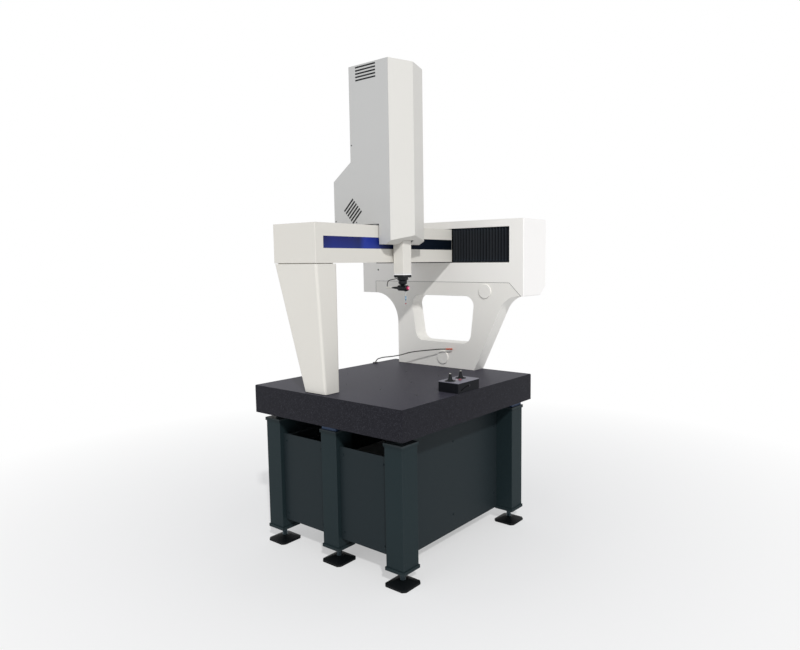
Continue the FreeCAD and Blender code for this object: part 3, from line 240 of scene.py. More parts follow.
def coatedCloth(name, tone, crease):
    # coated polyamide bellows cloth: tight weave under a rubbery coat, paler along the fold tips
    made, tree, here = newMaterial(name)
    threads = addNode(tree, "ShaderNodeTexWave",
                      {"Scale": 160.0, "Distortion": 0.6, "bands_direction": "Z"}, here)
    edge = addNode(tree, "ShaderNodeNewGeometry")
    tip = addNode(tree, "ShaderNodeMapRange", {"From Min": 0.5, "From Max": 0.62},
                  {"Value": (edge, "Pointiness")})
    tint = addNode(tree, "ShaderNodeMix", {"data_type": "RGBA", 6: colour(tone), 7: colour(crease)},
                   {0: (tip, "Result")})
    bump = addNode(tree, "ShaderNodeBump", {"Strength": 0.12, "Distance": 0.0003},
                   {"Height": (threads, "Fac")})
    return shaded(made, {"Roughness": 0.55, "Specular IOR Level": 0.2, "Sheen Weight": 0.02},
                  {"Base Color": (tint, "Result"), "Normal": (bump, "Normal")})


def ledLens(name, lowest, highest):
    # frosted acrylic over a red lamp: nearly white in the middle, deep pink at the rim
    made, tree, here = newMaterial(name)
    middle = (lowest + highest) / 2
    centred = addNode(tree, "ShaderNodeMapping",
                      {"vector_type": "POINT", "Location": (-middle.x, 0, -middle.z), "Scale": (1, 0, 1)},
                      here)
    away = addNode(tree, "ShaderNodeVectorMath", {"operation": "LENGTH"}, {0: (centred, "Vector")})
    share = addNode(tree, "ShaderNodeMapRange", {"From Max": middle.x - lowest.x}, {"Value": (away, "Value")})
    rings = addNode(tree, "ShaderNodeValToRGB",
                    {"stops": [(0.0, "#FFD9E4"), (0.38, "#F5A9BF"), (0.66, "#CF4370"), (1.0, "#A01F48")]},
                    {"Fac": (share, "Result")})
    frost = addNode(tree, "ShaderNodeTexNoise", {"Scale": grain(1.0)}, here)
    bump = addNode(tree, "ShaderNodeBump", {"Strength": 0.15, "Distance": 0.0002},
                   {"Height": (frost, "Fac")})
    return shaded(made, {"Emission Strength": 0.12, "Roughness": 0.35, "Specular IOR Level": 0.3},
                  {"Base Color": (rings, "Color"), "Emission Color": (rings, "Color"),
                   "Normal": (bump, "Normal")})


def paintedRimHighlightBlock(name, tone, edge, low, rim):
    # coated block whose lower rim is coloured white, a painted highlight for the light that the rim catches
    made, tree, here = newMaterial(name)
    split = addNode(tree, "ShaderNodeSeparateXYZ", None, here)
    # painted highlight: the lowest few millimetres of the block are coloured white
    rimHighlight = addNode(tree, "ShaderNodeMapRange",
                     {"From Min": low + rim * 0.8, "From Max": low + rim, "To Min": 1.0, "To Max": 0.0},
                     {"Value": (split, "Z")})
    tint = addNode(tree, "ShaderNodeMix", {"data_type": "RGBA", 6: colour(tone), 7: colour(edge)},
                   {0: (rimHighlight, "Result")})
    marks = addNode(tree, "ShaderNodeTexNoise", {"Scale": grain(2), "Detail": 2.0}, here)
    gloss = addNode(tree, "ShaderNodeMapRange", {"To Min": 0.25, "To Max": 0.4}, {"Value": (marks, "Fac")})
    return shaded(made, {}, {"Base Color": (tint, "Result"), "Roughness": (gloss, "Result")})


def clearRuby(name):
    # synthetic ruby, ground and polished: deep red with a hard glint
    made, tree, here = newMaterial(name)
    swirl = addNode(tree, "ShaderNodeTexNoise", {"Scale": grain(2)}, here)
    tint = addNode(tree, "ShaderNodeMix", {"data_type": "RGBA", 6: colour("#A0121C"), 7: colour("#C8202C")},
                   {0: (swirl, "Fac")})
    return shaded(made, {"Roughness": 0.06, "IOR": 1.77}, {"Base Color": (tint, "Result")})


# painted and moulded covers
coverWhite = powderCoat("powderCoatWhite", "#DEDCD6", "#DAD8D2")
beamWhite = powderCoat("powderCoatBeam", "#DEDBD3", "#DAD7CF", rough=0.5, shine=0.35)
housingWhite = powderCoat("powderCoatHousing", "#F7F5F0", "#F3F1EC")
endWhite = powderCoat("mouldedEndCover", "#FDFBF8", "#F9F7F4", 3.0, 0.38)
legWhite = powderCoat("powderCoatLeg", "#E3E0D8", "#DFDCD4", rough=0.55, shine=0.22)
coverGrey = powderCoat("powderCoatPaleGrey", "#C3C3C1", "#BFBFBD")
wallWhite = powderCoat("thermoformedAbs", "#F0EEE8", "#ECEAE4", 3.0, 0.38)
quillCoat = powderCoat("quillHardCoat", "#E6E3DB", "#E1DED6", 1.6, 0.34)
bandFrom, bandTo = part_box("beam_band")
band = bandFilm("bandFilm", bandFrom, bandTo)
cloth = coatedCloth("bellowsCloth", "#060B11", "#121C25")

# table and stand
# the fourth colour is painted light, added to the granite's upward faces
granite = lappedGranite("lappedGranite", "#1A1A1F", "#28282E", "#47474E", "#2D2C34", 0.44, 0.06)
standPaint = powderCoat("powderCoatDarkGreen", "#1F2A2D", "#232F32", 2.0, wear=0.1, shine=0.08)
panelPaint = powderCoat("powderCoatPanel", "#152024", "#1A2529", 2.0, wear=0.06, shine=0.08)
footPaint = powderCoat("foundryBlack", "#090C0E", "#0D1012", 3.0, 0.5, wear=0.05, shine=0.1)
footSteel = machinedMetal("passivatedSteel", "#5C6970", 0.42)
casePaint = powderCoat("powderCoatGrey", "#6E706F", "#686A69", 1.6, 0.4)
mountBlue = mouldedPlastic("blueMountRubber", "#1F3A5C", 0.6, 2.0)
filterPlastic = mouldedPlastic("polyamideGrey", "#4B4D50", 0.5)

# works, fasteners and seals
zinc = machinedMetal("zincPlatedSteel", "#B4B3AE", 0.32)
alloy = machinedMetal("hardAnodisedAlloy", "#9EA0A3", 0.38)
blackSteel = machinedMetal("blackenedSteel", "#3B3B3F", 0.45)
motorBlack = powderCoat("motorEnamel", "#1B1B1D", "#232325", 1.5, 0.4)
# painted shade: this dark colour also fills the vent slots, standing in for the shade inside them
foamAndShade = mouldedPlastic("ventFoamAndShade", "#101214", 0.9, 2.0, 0.8)
rimBlack = mouldedPlastic("sealRubber", "#1A1917", 0.7, 1.5, shine=0.2)
bandBlack = mouldedPlastic("bandEndAbs", "#0B1118", 0.35, 1.0, 0.1, 0.15)
sealBlack = mouldedPlastic("mouldedRib", "#040405", 0.7, 1.5, shine=0.05)

# head, probe and cable
# the quill's end block, with a painted highlight along its lower rim
endBlock = paintedRimHighlightBlock("endBlockPaintedHighlight", "#E2E0DA", "#FFFFFF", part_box("quill_end_block")[0].z, 0.005)
headBlack = machinedMetal("blackAnodised", "#121519", 0.34, (1, 1, 12), 0.5)
plateBlack = machinedMetal("blackAnodisedPlate", "#181A1D", 0.4, (12, 1, 1), 0.6)
lensFrom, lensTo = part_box("head_lens")
lensPink = ledLens("ledLens", lensFrom, lensTo)
plugPale = mouldedPlastic("plugPolyamide", "#DAD8D0", 0.45)
jacket = mouldedPlastic("cableJacket", "#0B0C0E", 0.6, 1.0, shine=0.15)
probeGrey = machinedMetal("satinSteel", "#B9BBBC", 0.4)
stylusBlue = machinedMetal("carbideStem", "#8FA6B8", 0.25)
ruby = clearRuby("syntheticRuby")

# console and sensor
consoleDark = mouldedPlastic("consoleAbs", "#0C0E13", 0.55, 1.4, shine=0.1)
consoleTop = powderCoat("consoleTopPlate", "#7B7A85", "#74737E", 1.4, 0.45)
socketSteel = machinedMetal("nickelPlatedBrass", "#6E6B70", 0.4)
stickBlack = mouldedPlastic("stickRubber", "#0E1013", 0.6, 1.0, 0.2, 0.2)
stopRed = mouldedPlastic("stopRed", "#8E4650", 0.4, 1.0, 0.1)
lampPale = mouldedPlastic("indicatorLens", "#E6C6C9", 0.3, 1.0, 0.1)
armDark = mouldedPlastic("armSleeve", "#2C2A28", 0.5)
tipOrange = mouldedPlastic("tipOrange", "#C4512F", 0.4, depth=0.2)
print("materials made:", len(bpy.data.materials))

# CAD nodes that stay in view; the others are replaced further down
dress = {"granite_table": granite, "stand_frame": standPaint, "support_mounts": mountBlue,
         "stand_panels": panelPaint, "controller_case": casePaint, "air_filter_unit": filterPlastic,
         "wall_cover_inner": wallWhite, "wall_cover_outer": wallWhite, "wall_caps": wallWhite,
         "guide_riser": alloy, "housing_cover": housingWhite, "housing_ends": endWhite, "y_guide": alloy,
         "console_case": consoleDark, "console_top": consoleTop, "joystick_mounts": stickBlack,
         "sensor_arm": armDark, "sensor_tip": tipOrange, "x_beam": beamWhite, "beam_band": band,
         "beam_end_cap": beamWhite, "bridge_leg": legWhite, "bridge_air_pads": alloy, "y_carriage": alloy,
         "y_motor": motorBlack, "y_drive_wheel": zinc, "x_saddle": alloy, "x_air_pads": alloy,
         "column_motors": motorBlack, "z_guide": alloy, "z_bearings": alloy, "column_mast": alloy,
         "column_front_cover": coverWhite, "column_side_left": coverGrey, "column_side_right": coverGrey,
         "column_rear_cover": coverWhite, "x_drive_wheel": zinc, "z_drive_wheel": zinc,
         "quill": quillCoat, "quill_end_block": endBlock, "probe_plate": plateBlack,
         "probe_module": probeGrey, "stylus": stylusBlue, "stylus_ball": ruby,
         "joystick_left_gimbal": zinc, "joystick_right_gimbal": zinc, "joystick_left": stickBlack,
         "joystick_right": stickBlack, "stop_button": stopRed}
for name, finish in dress.items():
    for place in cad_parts[name].material_slots:
        place.material = finish
print("CAD nodes dressed:", len(dress))


# ---- modelling helpers
def only(piece):
    if bpy.context.object and bpy.context.object.mode != "OBJECT":
        bpy.ops.object.mode_set(mode="OBJECT")
    bpy.ops.object.select_all(action="DESELECT")
    piece.select_set(True)
    bpy.context.view_layer.objects.active = piece


def editAll(piece):
    # leaves the piece in edit mode with all of it selected
    only(piece)
    bpy.ops.object.mode_set(mode="EDIT")
    bpy.ops.mesh.select_all(action="SELECT")


def faceOutwards(piece):
    editAll(piece)
    bpy.ops.mesh.normals_make_consistent(inside=False)
    bpy.ops.object.mode_set(mode="OBJECT")


def pickNone(piece, kind):
    editAll(piece)
    bpy.ops.mesh.select_mode(type=kind)
    bpy.ops.mesh.select_all(action="DESELECT")
    bpy.ops.object.mode_set(mode="OBJECT")


def pickFaces(piece, test):
    # leaves the piece in edit mode with just the wanted faces selected, told by middle and normal
    pickNone(piece, "FACE")
    for face in piece.data.polygons:
        face.select = test(face.center, face.normal)
    bpy.ops.object.mode_set(mode="EDIT")


def pickEdges(piece, test):
    # the same for edges, told by middle and direction
    pickNone(piece, "EDGE")
    spots = piece.data.vertices
    for edge in piece.data.edges:
        a, b = [spots[end].co for end in edge.vertices]
        edge.select = test((a + b) / 2, (b - a).normalized())
    bpy.ops.object.mode_set(mode="EDIT")


def applied(piece, kind, **settings):
    only(piece)
    tool = piece.modifiers.new(kind.lower(), kind)
    for key, value in settings.items():
        setattr(tool, key, value)
    bpy.ops.object.modifier_apply(modifier=tool.name)


def settled(piece, matrix):
    # turns and moves a piece, and keeps the place in its mesh
    piece.matrix_world = matrix
    only(piece)
    bpy.ops.object.transform_apply()
    return piece


def towards(place, way):
    # +Z turned along way, then a move to place
    turn = Vector((0, 0, 1)).rotation_difference(Vector(way).normalized())
    return Matrix.Translation(place) @ turn.to_matrix().to_4x4()


def joined(first, *rest):
    only(first)
    for other in rest:
        other.select_set(True)
    bpy.ops.object.join()
    return first


def finished(piece, name, finish, body, nodes=(), angle=35):
    only(piece)
    bpy.ops.object.transform_apply()
    piece.name = piece.data.name = name
    piece.data.materials.clear()
    piece.data.materials.append(finish)
    bpy.ops.object.shade_smooth_by_angle(angle=math.radians(angle))
    if nodes:
        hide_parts(*nodes)
    if body:                                      # a blended piece gets no body here
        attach(piece, body)


def block(lowest, highest):
    # a cube stretched between two corners
    bpy.ops.object.select_all(action="DESELECT")
    bpy.ops.mesh.primitive_cube_add(size=1, location=[(a + b) / 2 for a, b in zip(lowest, highest)])
    piece = bpy.context.object
    piece.scale = [b - a for a, b in zip(lowest, highest)]
    bpy.ops.object.transform_apply()
    return piece


def softened(piece, width, segments=2):
    applied(piece, "BEVEL", width=width * mm, segments=segments, limit_method="ANGLE",
            angle_limit=math.radians(40))
    return piece


def grid(columns, rows, size=1):
    bpy.ops.object.select_all(action="DESELECT")
    bpy.ops.mesh.primitive_grid_add(x_subdivisions=columns, y_subdivisions=rows, size=size)
    return bpy.context.object


def lathe(profile, place=(0, 0, 0), way=(0, 0, 1), sides=32):
    # rings of (radius, height) in millimetres, drawn as a circle that is extruded and scaled step by step
    tip = 0.02                                    # a ring on the axis keeps this much, to be scaled from
    rings = [(max(wide, tip), high) for wide, high in profile]
    r, h = rings[0]
    bpy.ops.object.select_all(action="DESELECT")
    bpy.ops.mesh.primitive_circle_add(vertices=sides, radius=r * mm, location=(0, 0, h * mm),
                                      fill_type="NGON")
    piece = bpy.context.object
    bpy.ops.object.transform_apply()
    editAll(piece)
    for wide, high in rings[1:]:
        bpy.ops.mesh.extrude_region_move(TRANSFORM_OT_translate={"value": (0, 0, (high - h) * mm)})
        bpy.ops.transform.resize(value=(wide / r, wide / r, 1), center_override=(0, 0, high * mm))
        r, h = wide, high
    faceOutwards(piece)
    return settled(piece, towards(place, way))


def rod(radius, long):
    # rings of a plain rod
    return (0, 0), (radius, 0), (radius, long), (0, long)


def placed(model, place, way=(0, 0, 1), grow=1.0):
    # a copy of a small model with its own mesh, pointed along way
    return settled(added(model.name, model.data.copy()), towards(place, way) @ Matrix.Scale(grow, 4))


def discard(piece):
    bpy.data.objects.remove(piece)


def looseParts(node):
    # lowest and highest corner of each solid in a CAD node, whose loose triangles are merged first
    editAll(added(node + "Copy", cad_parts[node].data.copy()))
    bpy.ops.mesh.remove_doubles(threshold=0.00002)
    bpy.ops.mesh.separate(type="LOOSE")
    bpy.ops.object.mode_set(mode="OBJECT")
    spots = []
    for part in list(bpy.context.selected_objects):
        corners = [vert.co for vert in part.data.vertices]
        spots.append([Vector([end(c[i] for c in corners) for i in range(3)]) for end in (min, max)])
        discard(part)
    return sorted(spots, key=lambda spot: tuple(round(v, 4) for v in spot[0]))


def curveThrough(name, kind, points, radius, rounds):
    data = bpy.data.curves.new(name, "CURVE")
    data.dimensions = "3D"
    data.bevel_depth = radius
    data.bevel_resolution = rounds
    spline = data.splines.new(kind)
    spline.points.add(len(points) - 1)
    for point, place in zip(spline.points, points):
        point.co = (*place, 1)
    return added(name, data)


def ribbon(name, points, radius, finish, body):
    # a round bead through straight runs, made a mesh
    bead = curveThrough(name, "POLY", points, radius, 2)
    bead.data.use_fill_caps = True
    only(bead)
    bpy.ops.object.convert(target="MESH")
    finished(bpy.context.object, name, finish, body, angle=60)


# ---- probe cable: the one cord, held at both ends by the head
jumper = {"x": -0.0880, "route": ((-0.1278, 1.3187), (-0.1078, 1.3147), (-0.0788, 1.3107),
                                  (-0.0515, 1.3020), (-0.0505, 1.2758)),
          "diameter": 0.004, "length": 0.100}


def makeJumper():
    route = [(jumper["x"], y, z) for y, z in jumper["route"]]
    cable = curveThrough("probeCable", "NURBS", route, jumper["diameter"] / 2, 5)
    spline = cable.data.splines[0]
    spline.order_u = 3
    spline.use_endpoint_u = True
    spline.resolution_u = 10
    cable.data.materials.append(jacket)
    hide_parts("probe_jumper")
    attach(cable, "head")


makeJumper()
print("probe cable laid")

# ---- plugs at the two ends of the probe cable, in millimetres: a black strain relief with ribs that
# narrow away from the head, and a pale sleeve with a riser for the cable
plugs = {"boot": ((0, 0), (7.0, 0), (7.0, 6.0), (6.2, 7.0)), "bootEnd": ((3.2, 41), (3.0, 44), (0, 44)),
         "ribs": 5, "ribStart": 9, "ribPitch": 6.2, "ribWide": 6.3, "narrowing": 0.6,
         "rib": ((-0.7, 0), (-0.7, 1.4), (0, 1.8), (-0.2, 5.2)),
         "sleeveStart": 44, "sleeve": ((0, 0), (2.9, 0), (3.4, 0.6)),
         "sleeveEnd": ((3.4, -2), (3.5, 3), (2.6, 4), (0, 4)),
         "riser": ((0, 0), (2.8, 0), (2.8, 4.6), (2.4, 5.8), (0, 5.8)), "riserIn": 4, "sides": 28}


def makePlugs():
    lowest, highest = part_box("jumper_plugs")
    x, _, axis = (lowest + highest) / 2
    steps = list(plugs["boot"])
    for k in range(plugs["ribs"]):
        high = plugs["ribStart"] + k * plugs["ribPitch"]
        wide = plugs["ribWide"] - k * plugs["narrowing"]
        steps += [(wide + out, high + rise) for out, rise in plugs["rib"]]
    boot = lathe(steps + list(plugs["bootEnd"]), (x, lowest.y, axis), (0, 1, 0), plugs["sides"])
    finished(boot, "plugBoot", stickBlack, "head")
    start = lowest.y + plugs["sleeveStart"] * mm
    end = highest.y - plugs["riserIn"] * mm
    steps = list(plugs["sleeve"]) + [(wide, (end - start) / mm + high) for wide, high in plugs["sleeveEnd"]]
    sleeve = lathe(steps, (x, start, axis), (0, 1, 0), plugs["sides"])
    riser = lathe(plugs["riser"], (x, end, axis), (0, 0, 1), plugs["sides"])
    finished(joined(sleeve, riser), "plugSleeve", plugPale, "head", ["jumper_plugs"])


makePlugs()

# ---- pleated curtains each side of the bridge, inside the room of their CAD solids
# fold: place along one pleat and depth there, with sharp tips and flat flanks
bellows = {"pitch": 0.0187, "thick": 0.0007, "front": 0.0003, "margin": 0.0002, "rows": 10, "deep": 0.92,
           "fold": ((0.0, 0.0), (0.07, 0.12), (0.43, 0.88), (0.5, 1.0), (0.57, 0.88), (0.93, 0.12))}


def makeCurtain(name, node):
    lowest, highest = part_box(node)
    x0, x1 = lowest.x + bellows["front"], highest.x - bellows["margin"]
    z0, z1 = lowest.z + bellows["margin"], highest.z - bellows["margin"]
    wide = highest.y - lowest.y
    count = round(wide / bellows["pitch"])
    columns, rows = count * len(bellows["fold"]), bellows["rows"]
    piece = grid(columns, rows)
    for vert in piece.data.vertices:
        column = round((vert.co.x + 0.5) * columns)
        row = round((vert.co.y + 0.5) * rows)
        pleat, step = divmod(column, len(bellows["fold"]))
        along, deep = bellows["fold"][step]
        # each pleat sits a little out of true, as folded cloth does
        lean = math.sin(pleat * 2.4 + row * 0.5) * 0.05 + math.sin(pleat * 0.9) * 0.06
        depth = deep * (bellows["deep"] + lean) * (x1 - x0)
        vert.co = (x1 - depth, lowest.y + (pleat + along) / count * wide, z0 + row / rows * (z1 - z0))
    faceOutwards(piece)
    applied(piece, "SOLIDIFY", thickness=bellows["thick"], offset=0)
    finished(piece, name, cloth, None, [node], 20)
    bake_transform(piece)


makeCurtain("curtainFront", "curtain_front")
makeCurtain("curtainRear", "curtain_rear")
print("curtains pleated")

# ---- air slots in the column's sides: a dark grille bar fills each and is also painted shade for the slot's depth, its flat lip lies on the face, and
# foam stands behind. Places are millimetres back and up from the cover's front lower corner
vents = {"skin": 3.5, "recess": 0.4, "sunk": 0.1, "proud": 0.35, "high": 5.9, "lap": 0.6, "round": 0.15,
         "foamThick": 2.0, "foamBow": 0.4,
         "foamAndShade": ((69.0, 220.0, 774.5, 851.5), (139.5, 309.5, 144.0, 311.0)),
         "top": {"start": (79.1, 846.0), "from": 0.0, "long": 130.8, "pitch": 15.0, "count": 5, "lean": 0,
                 "lip": 7.6},
         "side": {"start": (244.0, 226.0), "from": 0.1, "long": 83.8, "pitch": 16.6, "count": 6, "lean": 43,
                  "lip": 9.4}}


# each slot is filled with a dark bar, painted shade for the slot's depth
def ventShadeBars(group, bar, lip, corner):
    bars = []
    lean = math.radians(group["lean"])
    high, edge = vents["high"] / 2 * mm, group["lip"] / 2 * mm
    near, far, lap = group["from"] * mm, group["long"] * mm, vents["lap"] * mm
    for k in range(group["count"]):
        back, up = group["start"]
        back -= k * group["pitch"] * math.sin(lean)
        up -= k * group["pitch"] * math.cos(lean)
        turn = (Matrix.Translation((0, corner.y + back * mm, corner.z + up * mm))
                @ Matrix.Rotation(-lean, 4, "X"))
        bars.append(settled(block((bar[0], near, -high), (bar[1], far, high)), turn))
        flange = softened(block((lip[0], -lap, -edge), (lip[1], far + lap, edge)), vents["round"], 1)
        bars.append(settled(flange, turn))
    return bars


def makeVents(side, face, outwards, corner):
    x = face - outwards * vents["skin"] * mm
    bar = sorted((x, face - outwards * vents["recess"] * mm))
    lip = sorted((face - outwards * vents["sunk"] * mm, face + outwards * vents["proud"] * mm))
    parts = ventShadeBars(vents["top"], bar, lip, corner) + ventShadeBars(vents["side"], bar, lip, corner)
    for y0, y1, z0, z1 in vents["foamAndShade"]:
        sheet = grid(12, 6)
        for vert in sheet.data.vertices:
            bow = vents["foamBow"] * math.sin(vert.co.x * 9) * math.cos(vert.co.y * 7)
            y, z = (y0 + y1) / 2 + vert.co.x * (y1 - y0), (z0 + z1) / 2 + vert.co.y * (z1 - z0)
            vert.co = (x + bow * mm, corner.y + y * mm, corner.z + z * mm)
        applied(sheet, "SOLIDIFY", thickness=vents["foamThick"] * mm, offset=0)
        parts.append(sheet)
    finished(joined(*parts), "ventShadeBarsAndFoam" + side, foamAndShade, "carriage")


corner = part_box("column_side_left")[0]
makeVents("Left", corner.x, -1, corner)
makeVents("Right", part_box("column_side_right")[1].x, 1, corner)

# ---- rubber boots under the two joystick knobs, each made in a lower and an upper half.
# levels mark where the halves were meant to start and stop following
boots = {"levels": (1.0, 5.2, 10.0), "wall": 0.8,
         "lower": ((16.2, 0.3), (16.4, 1.6), (14.0, 2.7), (14.7, 3.9), (12.6, 5.2)),
         "upper": ((12.6, 5.2), (13.3, 6.3), (10.8, 7.4), (11.5, 8.6), (9.8, 9.9), (9.9, 12.0)),
         "cap": ((0, 33.6), (4.2, 33.6), (4.6, 34.2), (4.2, 35.2), (2.4, 35.9), (0, 36.0))}
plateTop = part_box("console_top")[1].z


def makeBoots(node):
    lowest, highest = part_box(node)
    x, y = ((lowest + highest) / 2).xy
    for k, part in enumerate(("lower", "upper")):
        boot = lathe(boots[part], (x, y, plateTop), (0, 0, 1), 40)
        # open at both ends
        pickFaces(boot, lambda spot, way: abs(way.z) > 0.99 and math.hypot(spot.x - x, spot.y - y) < 0.001)
        bpy.ops.mesh.delete(type="ONLY_FACE")
        bpy.ops.object.mode_set(mode="OBJECT")
        applied(boot, "SOLIDIFY", thickness=boots["wall"] * mm, offset=-1)
        applied(boot, "SUBSURF", levels=1, render_levels=1)
        finished(boot, node + "_" + part + "Boot", stickBlack, None, angle=60)
        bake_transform(boot)
    cap = lathe(boots["cap"], (x, y, plateTop), (0, 0, 1), 28)
    finished(cap, node + "_cap", plugPale, node)


makeBoots("joystick_left")
makeBoots("joystick_right")
print("joystick boots made")

# ---- small button-head screws with a hexagon socket, one model for every place
screwHead = {"socket": 1.9, "profile": ((0, 0), (4.5, 0), (4.5, 0.9), (4.2, 1.6), (3.3, 2.2), (2.3, 2.4),
                                        (1.9, 2.4), (1.9, 0.8), (0, 0.8))}
# screws without a CAD node, in millimetres from the lowest corner of what they hold
coverSpots = {"inner": ((1012.0, 137.5),), "outer": ((107.5, 467.5, 767.5, 1117.5), (69.5, 384.5)),
              "end": ((18.5, 24.5), (18.5, 384.5), (216.5, 384.5), (216.5, 74.5)),
              "rear": ((20.25, 224.25), (46.0, 176.0, 296.0)),
              "rearUpper": ((20.25, 224.25), (436.0, 616.0, 816.0)), "rearStep": 122.5}


def makeScrewHead():
    head = lathe(screwHead["profile"], sides=24)
    for vert in head.data.vertices:
        reach = math.hypot(vert.co.x, vert.co.y)
        if abs(reach - screwHead["socket"] * mm) < 0.00005:      # round ring to hexagon
            turn = math.degrees(math.atan2(vert.co.y, vert.co.x)) % 60 - 30
            grow = math.cos(math.radians(30)) / math.cos(math.radians(turn))
            vert.co.x *= grow
            vert.co.y *= grow
    return head


def screwSeats(node, middle):
    # place and direction of each screw in a CAD node, pointing away from the middle of what it holds
    spots = []
    for lowest, highest in looseParts(node):
        size = highest - lowest
        axis = min(range(3), key=lambda i: size[i])
        way = Vector((0, 0, 0))
        way[axis] = 1 if (lowest[axis] + highest[axis]) / 2 > middle[axis] else -1
        spots.append(((lowest + highest) / 2 - way * size[axis] / 2, way))
    return spots


def makeScrews(name, spots, finish, body, grow, nodes=()):
    model = makeScrewHead()
    heads = [placed(model, place, way, grow) for place, way in spots]
    discard(model)
    finished(joined(*heads), name, finish, body, nodes)


tableFrom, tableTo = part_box("granite_table")
columnFrom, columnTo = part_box("column_rear_cover")
houseFrom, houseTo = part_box("housing_cover")
endFrom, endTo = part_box("housing_ends")


def screwSheets():
    # the CAD has these screws as plain discs
    spots = screwSeats("panel_screws", (tableFrom + tableTo) / 2)
    makeScrews("panelScrewHeads", spots, panelPaint, "base", 1.0, ["panel_screws"])
    spots = screwSeats("cover_screws", (columnFrom + columnTo) / 2)
    makeScrews("coverScrewHeads", spots, blackSteel, "carriage", 0.7, ["cover_screws"])


def screwHousing():
    spots = [((houseFrom.x, houseFrom.y + y * mm, houseFrom.z + z * mm), (-1, 0, 0))
             for y, z in coverSpots["inner"]]
    makeScrews("housingInnerScrew", spots, stickBlack, "base", 1.1)
    across, up = coverSpots["outer"]
    spots = [((houseTo.x, houseFrom.y + y * mm, houseFrom.z + z * mm), (1, 0, 0)) for y in across for z in up]
    spots += [((endFrom.x + x * mm, endTo.y, endFrom.z + z * mm), (0, 1, 0)) for x, z in coverSpots["end"]]
    makeScrews("housingScrewHeads", spots, blackSteel, "base", 0.62)


def screwColumn():
    spots = []
    for row, step in (("rear", 0), ("rearUpper", coverSpots["rearStep"])):
        across, up = coverSpots[row]
        spots += [((columnFrom.x + x * mm, columnTo.y - step * mm, columnFrom.z + z * mm), (0, 1, 0))
                  for x in across for z in up]
    makeScrews("rearScrewHeads", spots, blackSteel, "carriage", 0.62)


screwSheets()
screwHousing()
screwColumn()
print("screws placed")

# ---- levelling feet, in millimetres: cast pads, threaded studs and chamfered nuts
feet = {"wide": 122, "thick": 9, "cut": 14, "ledge": 117, "ledgeHigh": 1.5, "crown": 44, "crownHigh": 24,
        "cone": 55, "tip": 2, "round": 0.8, "root": 10.5, "pitch": 3.0, "turns": 17,
        "thread": ((10.5, 1.0), (12.0, 2.1), (12.0, 2.5), (10.5, 3.6)), "lap": 1,
        "nut": 20.78, "nutHigh": 14.0, "chamfer": 1.4, "flat": 0.93}


def makeFootPad():
    half, thick = feet["wide"] / 2 * mm, feet["thick"] * mm
    pad = block((-half, -half, 0), (half, half, thick))
    pickEdges(pad, lambda middle, way: abs(way.z) > 0.9)
    bpy.ops.mesh.bevel(offset=feet["cut"] * mm, segments=1)
    bpy.ops.object.mode_set(mode="OBJECT")
    pickFaces(pad, lambda spot, way: way.z > 0.9)
    level, wide = feet["thick"], feet["wide"]
    coneHigh = feet["crownHigh"] - level - feet["ledgeHigh"] - feet["tip"]
    for rise, span in ((feet["ledgeHigh"], feet["ledge"]), (coneHigh, feet["cone"]),
                       (feet["tip"], feet["crown"])):
        level += rise
        bpy.ops.mesh.extrude_region_move(TRANSFORM_OT_translate={"value": (0, 0, rise * mm)})
        bpy.ops.transform.resize(value=(span / wide, span / wide, 1), center_override=(0, 0, level * mm))
        wide = span
    bpy.ops.object.mode_set(mode="OBJECT")
    return softened(pad, feet["round"])


def makeStud(low, high):
    root = feet["root"]
    steps = [(0, low), (root, low)]
    for k in range(feet["turns"]):
        steps += [(wide, low + k * feet["pitch"] + rise) for wide, rise in feet["thread"]]
    return lathe(steps + [(root, high), (0, high)], sides=24)


def makeNut():
    high, slope, small = feet["nutHigh"], feet["chamfer"], feet["nut"] * feet["flat"]
    return lathe([(0, 0), (small, 0), (feet["nut"], slope), (feet["nut"], high - slope), (small, high),
                  (0, high)], sides=6)


def makeFeet():
    found = looseParts("levelling_feet")
    tall = [spot for spot in found if (spot[1] - spot[0]).z > 0.05]      # a stud on its pad
    flat = [spot for spot in found if (spot[1] - spot[0]).z <= 0.05]     # its lock nut
    seat = flat[0][1].z / mm                                             # underside of the base plates
    pad = makeFootPad()
    stud = makeStud(feet["crownHigh"] - feet["lap"], seat + feet["lap"])
    nut = makeNut()
    pads, metal = [], []
    for lowest, highest in tall:
        x, y = ((lowest + highest) / 2).xy
        pads.append(placed(pad, (x, y, 0)))
        metal.append(placed(stud, (x, y, 0)))
        metal.append(placed(nut, (x, y, (seat - feet["nutHigh"]) * mm)))
    for model in (pad, stud, nut):
        discard(model)
    finished(joined(*pads), "footPads", footPaint, "base", ["levelling_feet"])
    finished(joined(*metal), "footStuds", footSteel, "base")


makeFeet()

# ---- threaded bushes in the granite, in millimetres below its top
bush = {"rim": ((0, -24), (8.0, -24), (8.0, -0.5), (7.5, -0.1), (4.7, -0.1), (4.0, -0.8)),
        "thread": ((3.45, -1.2), (4.0, -1.82)), "pitch": 1.25, "turns": 11, "end": ((3.45, -16), (0, -16))}


def makeBushes():
    steps = list(bush["rim"])
    for k in range(bush["turns"]):
        steps += [(wide, high - k * bush["pitch"]) for wide, high in bush["thread"]]
    model = lathe(steps + list(bush["end"]), sides=24)
    bushes = []
    for lowest, highest in looseParts("threaded_inserts"):
        x, y = ((lowest + highest) / 2).xy
        bushes.append(placed(model, (x, y, highest.z)))
    discard(model)
    finished(joined(*bushes), "threadedBushes", blackSteel, "base", ["threaded_inserts"])


makeBushes()
print("feet and bushes made")

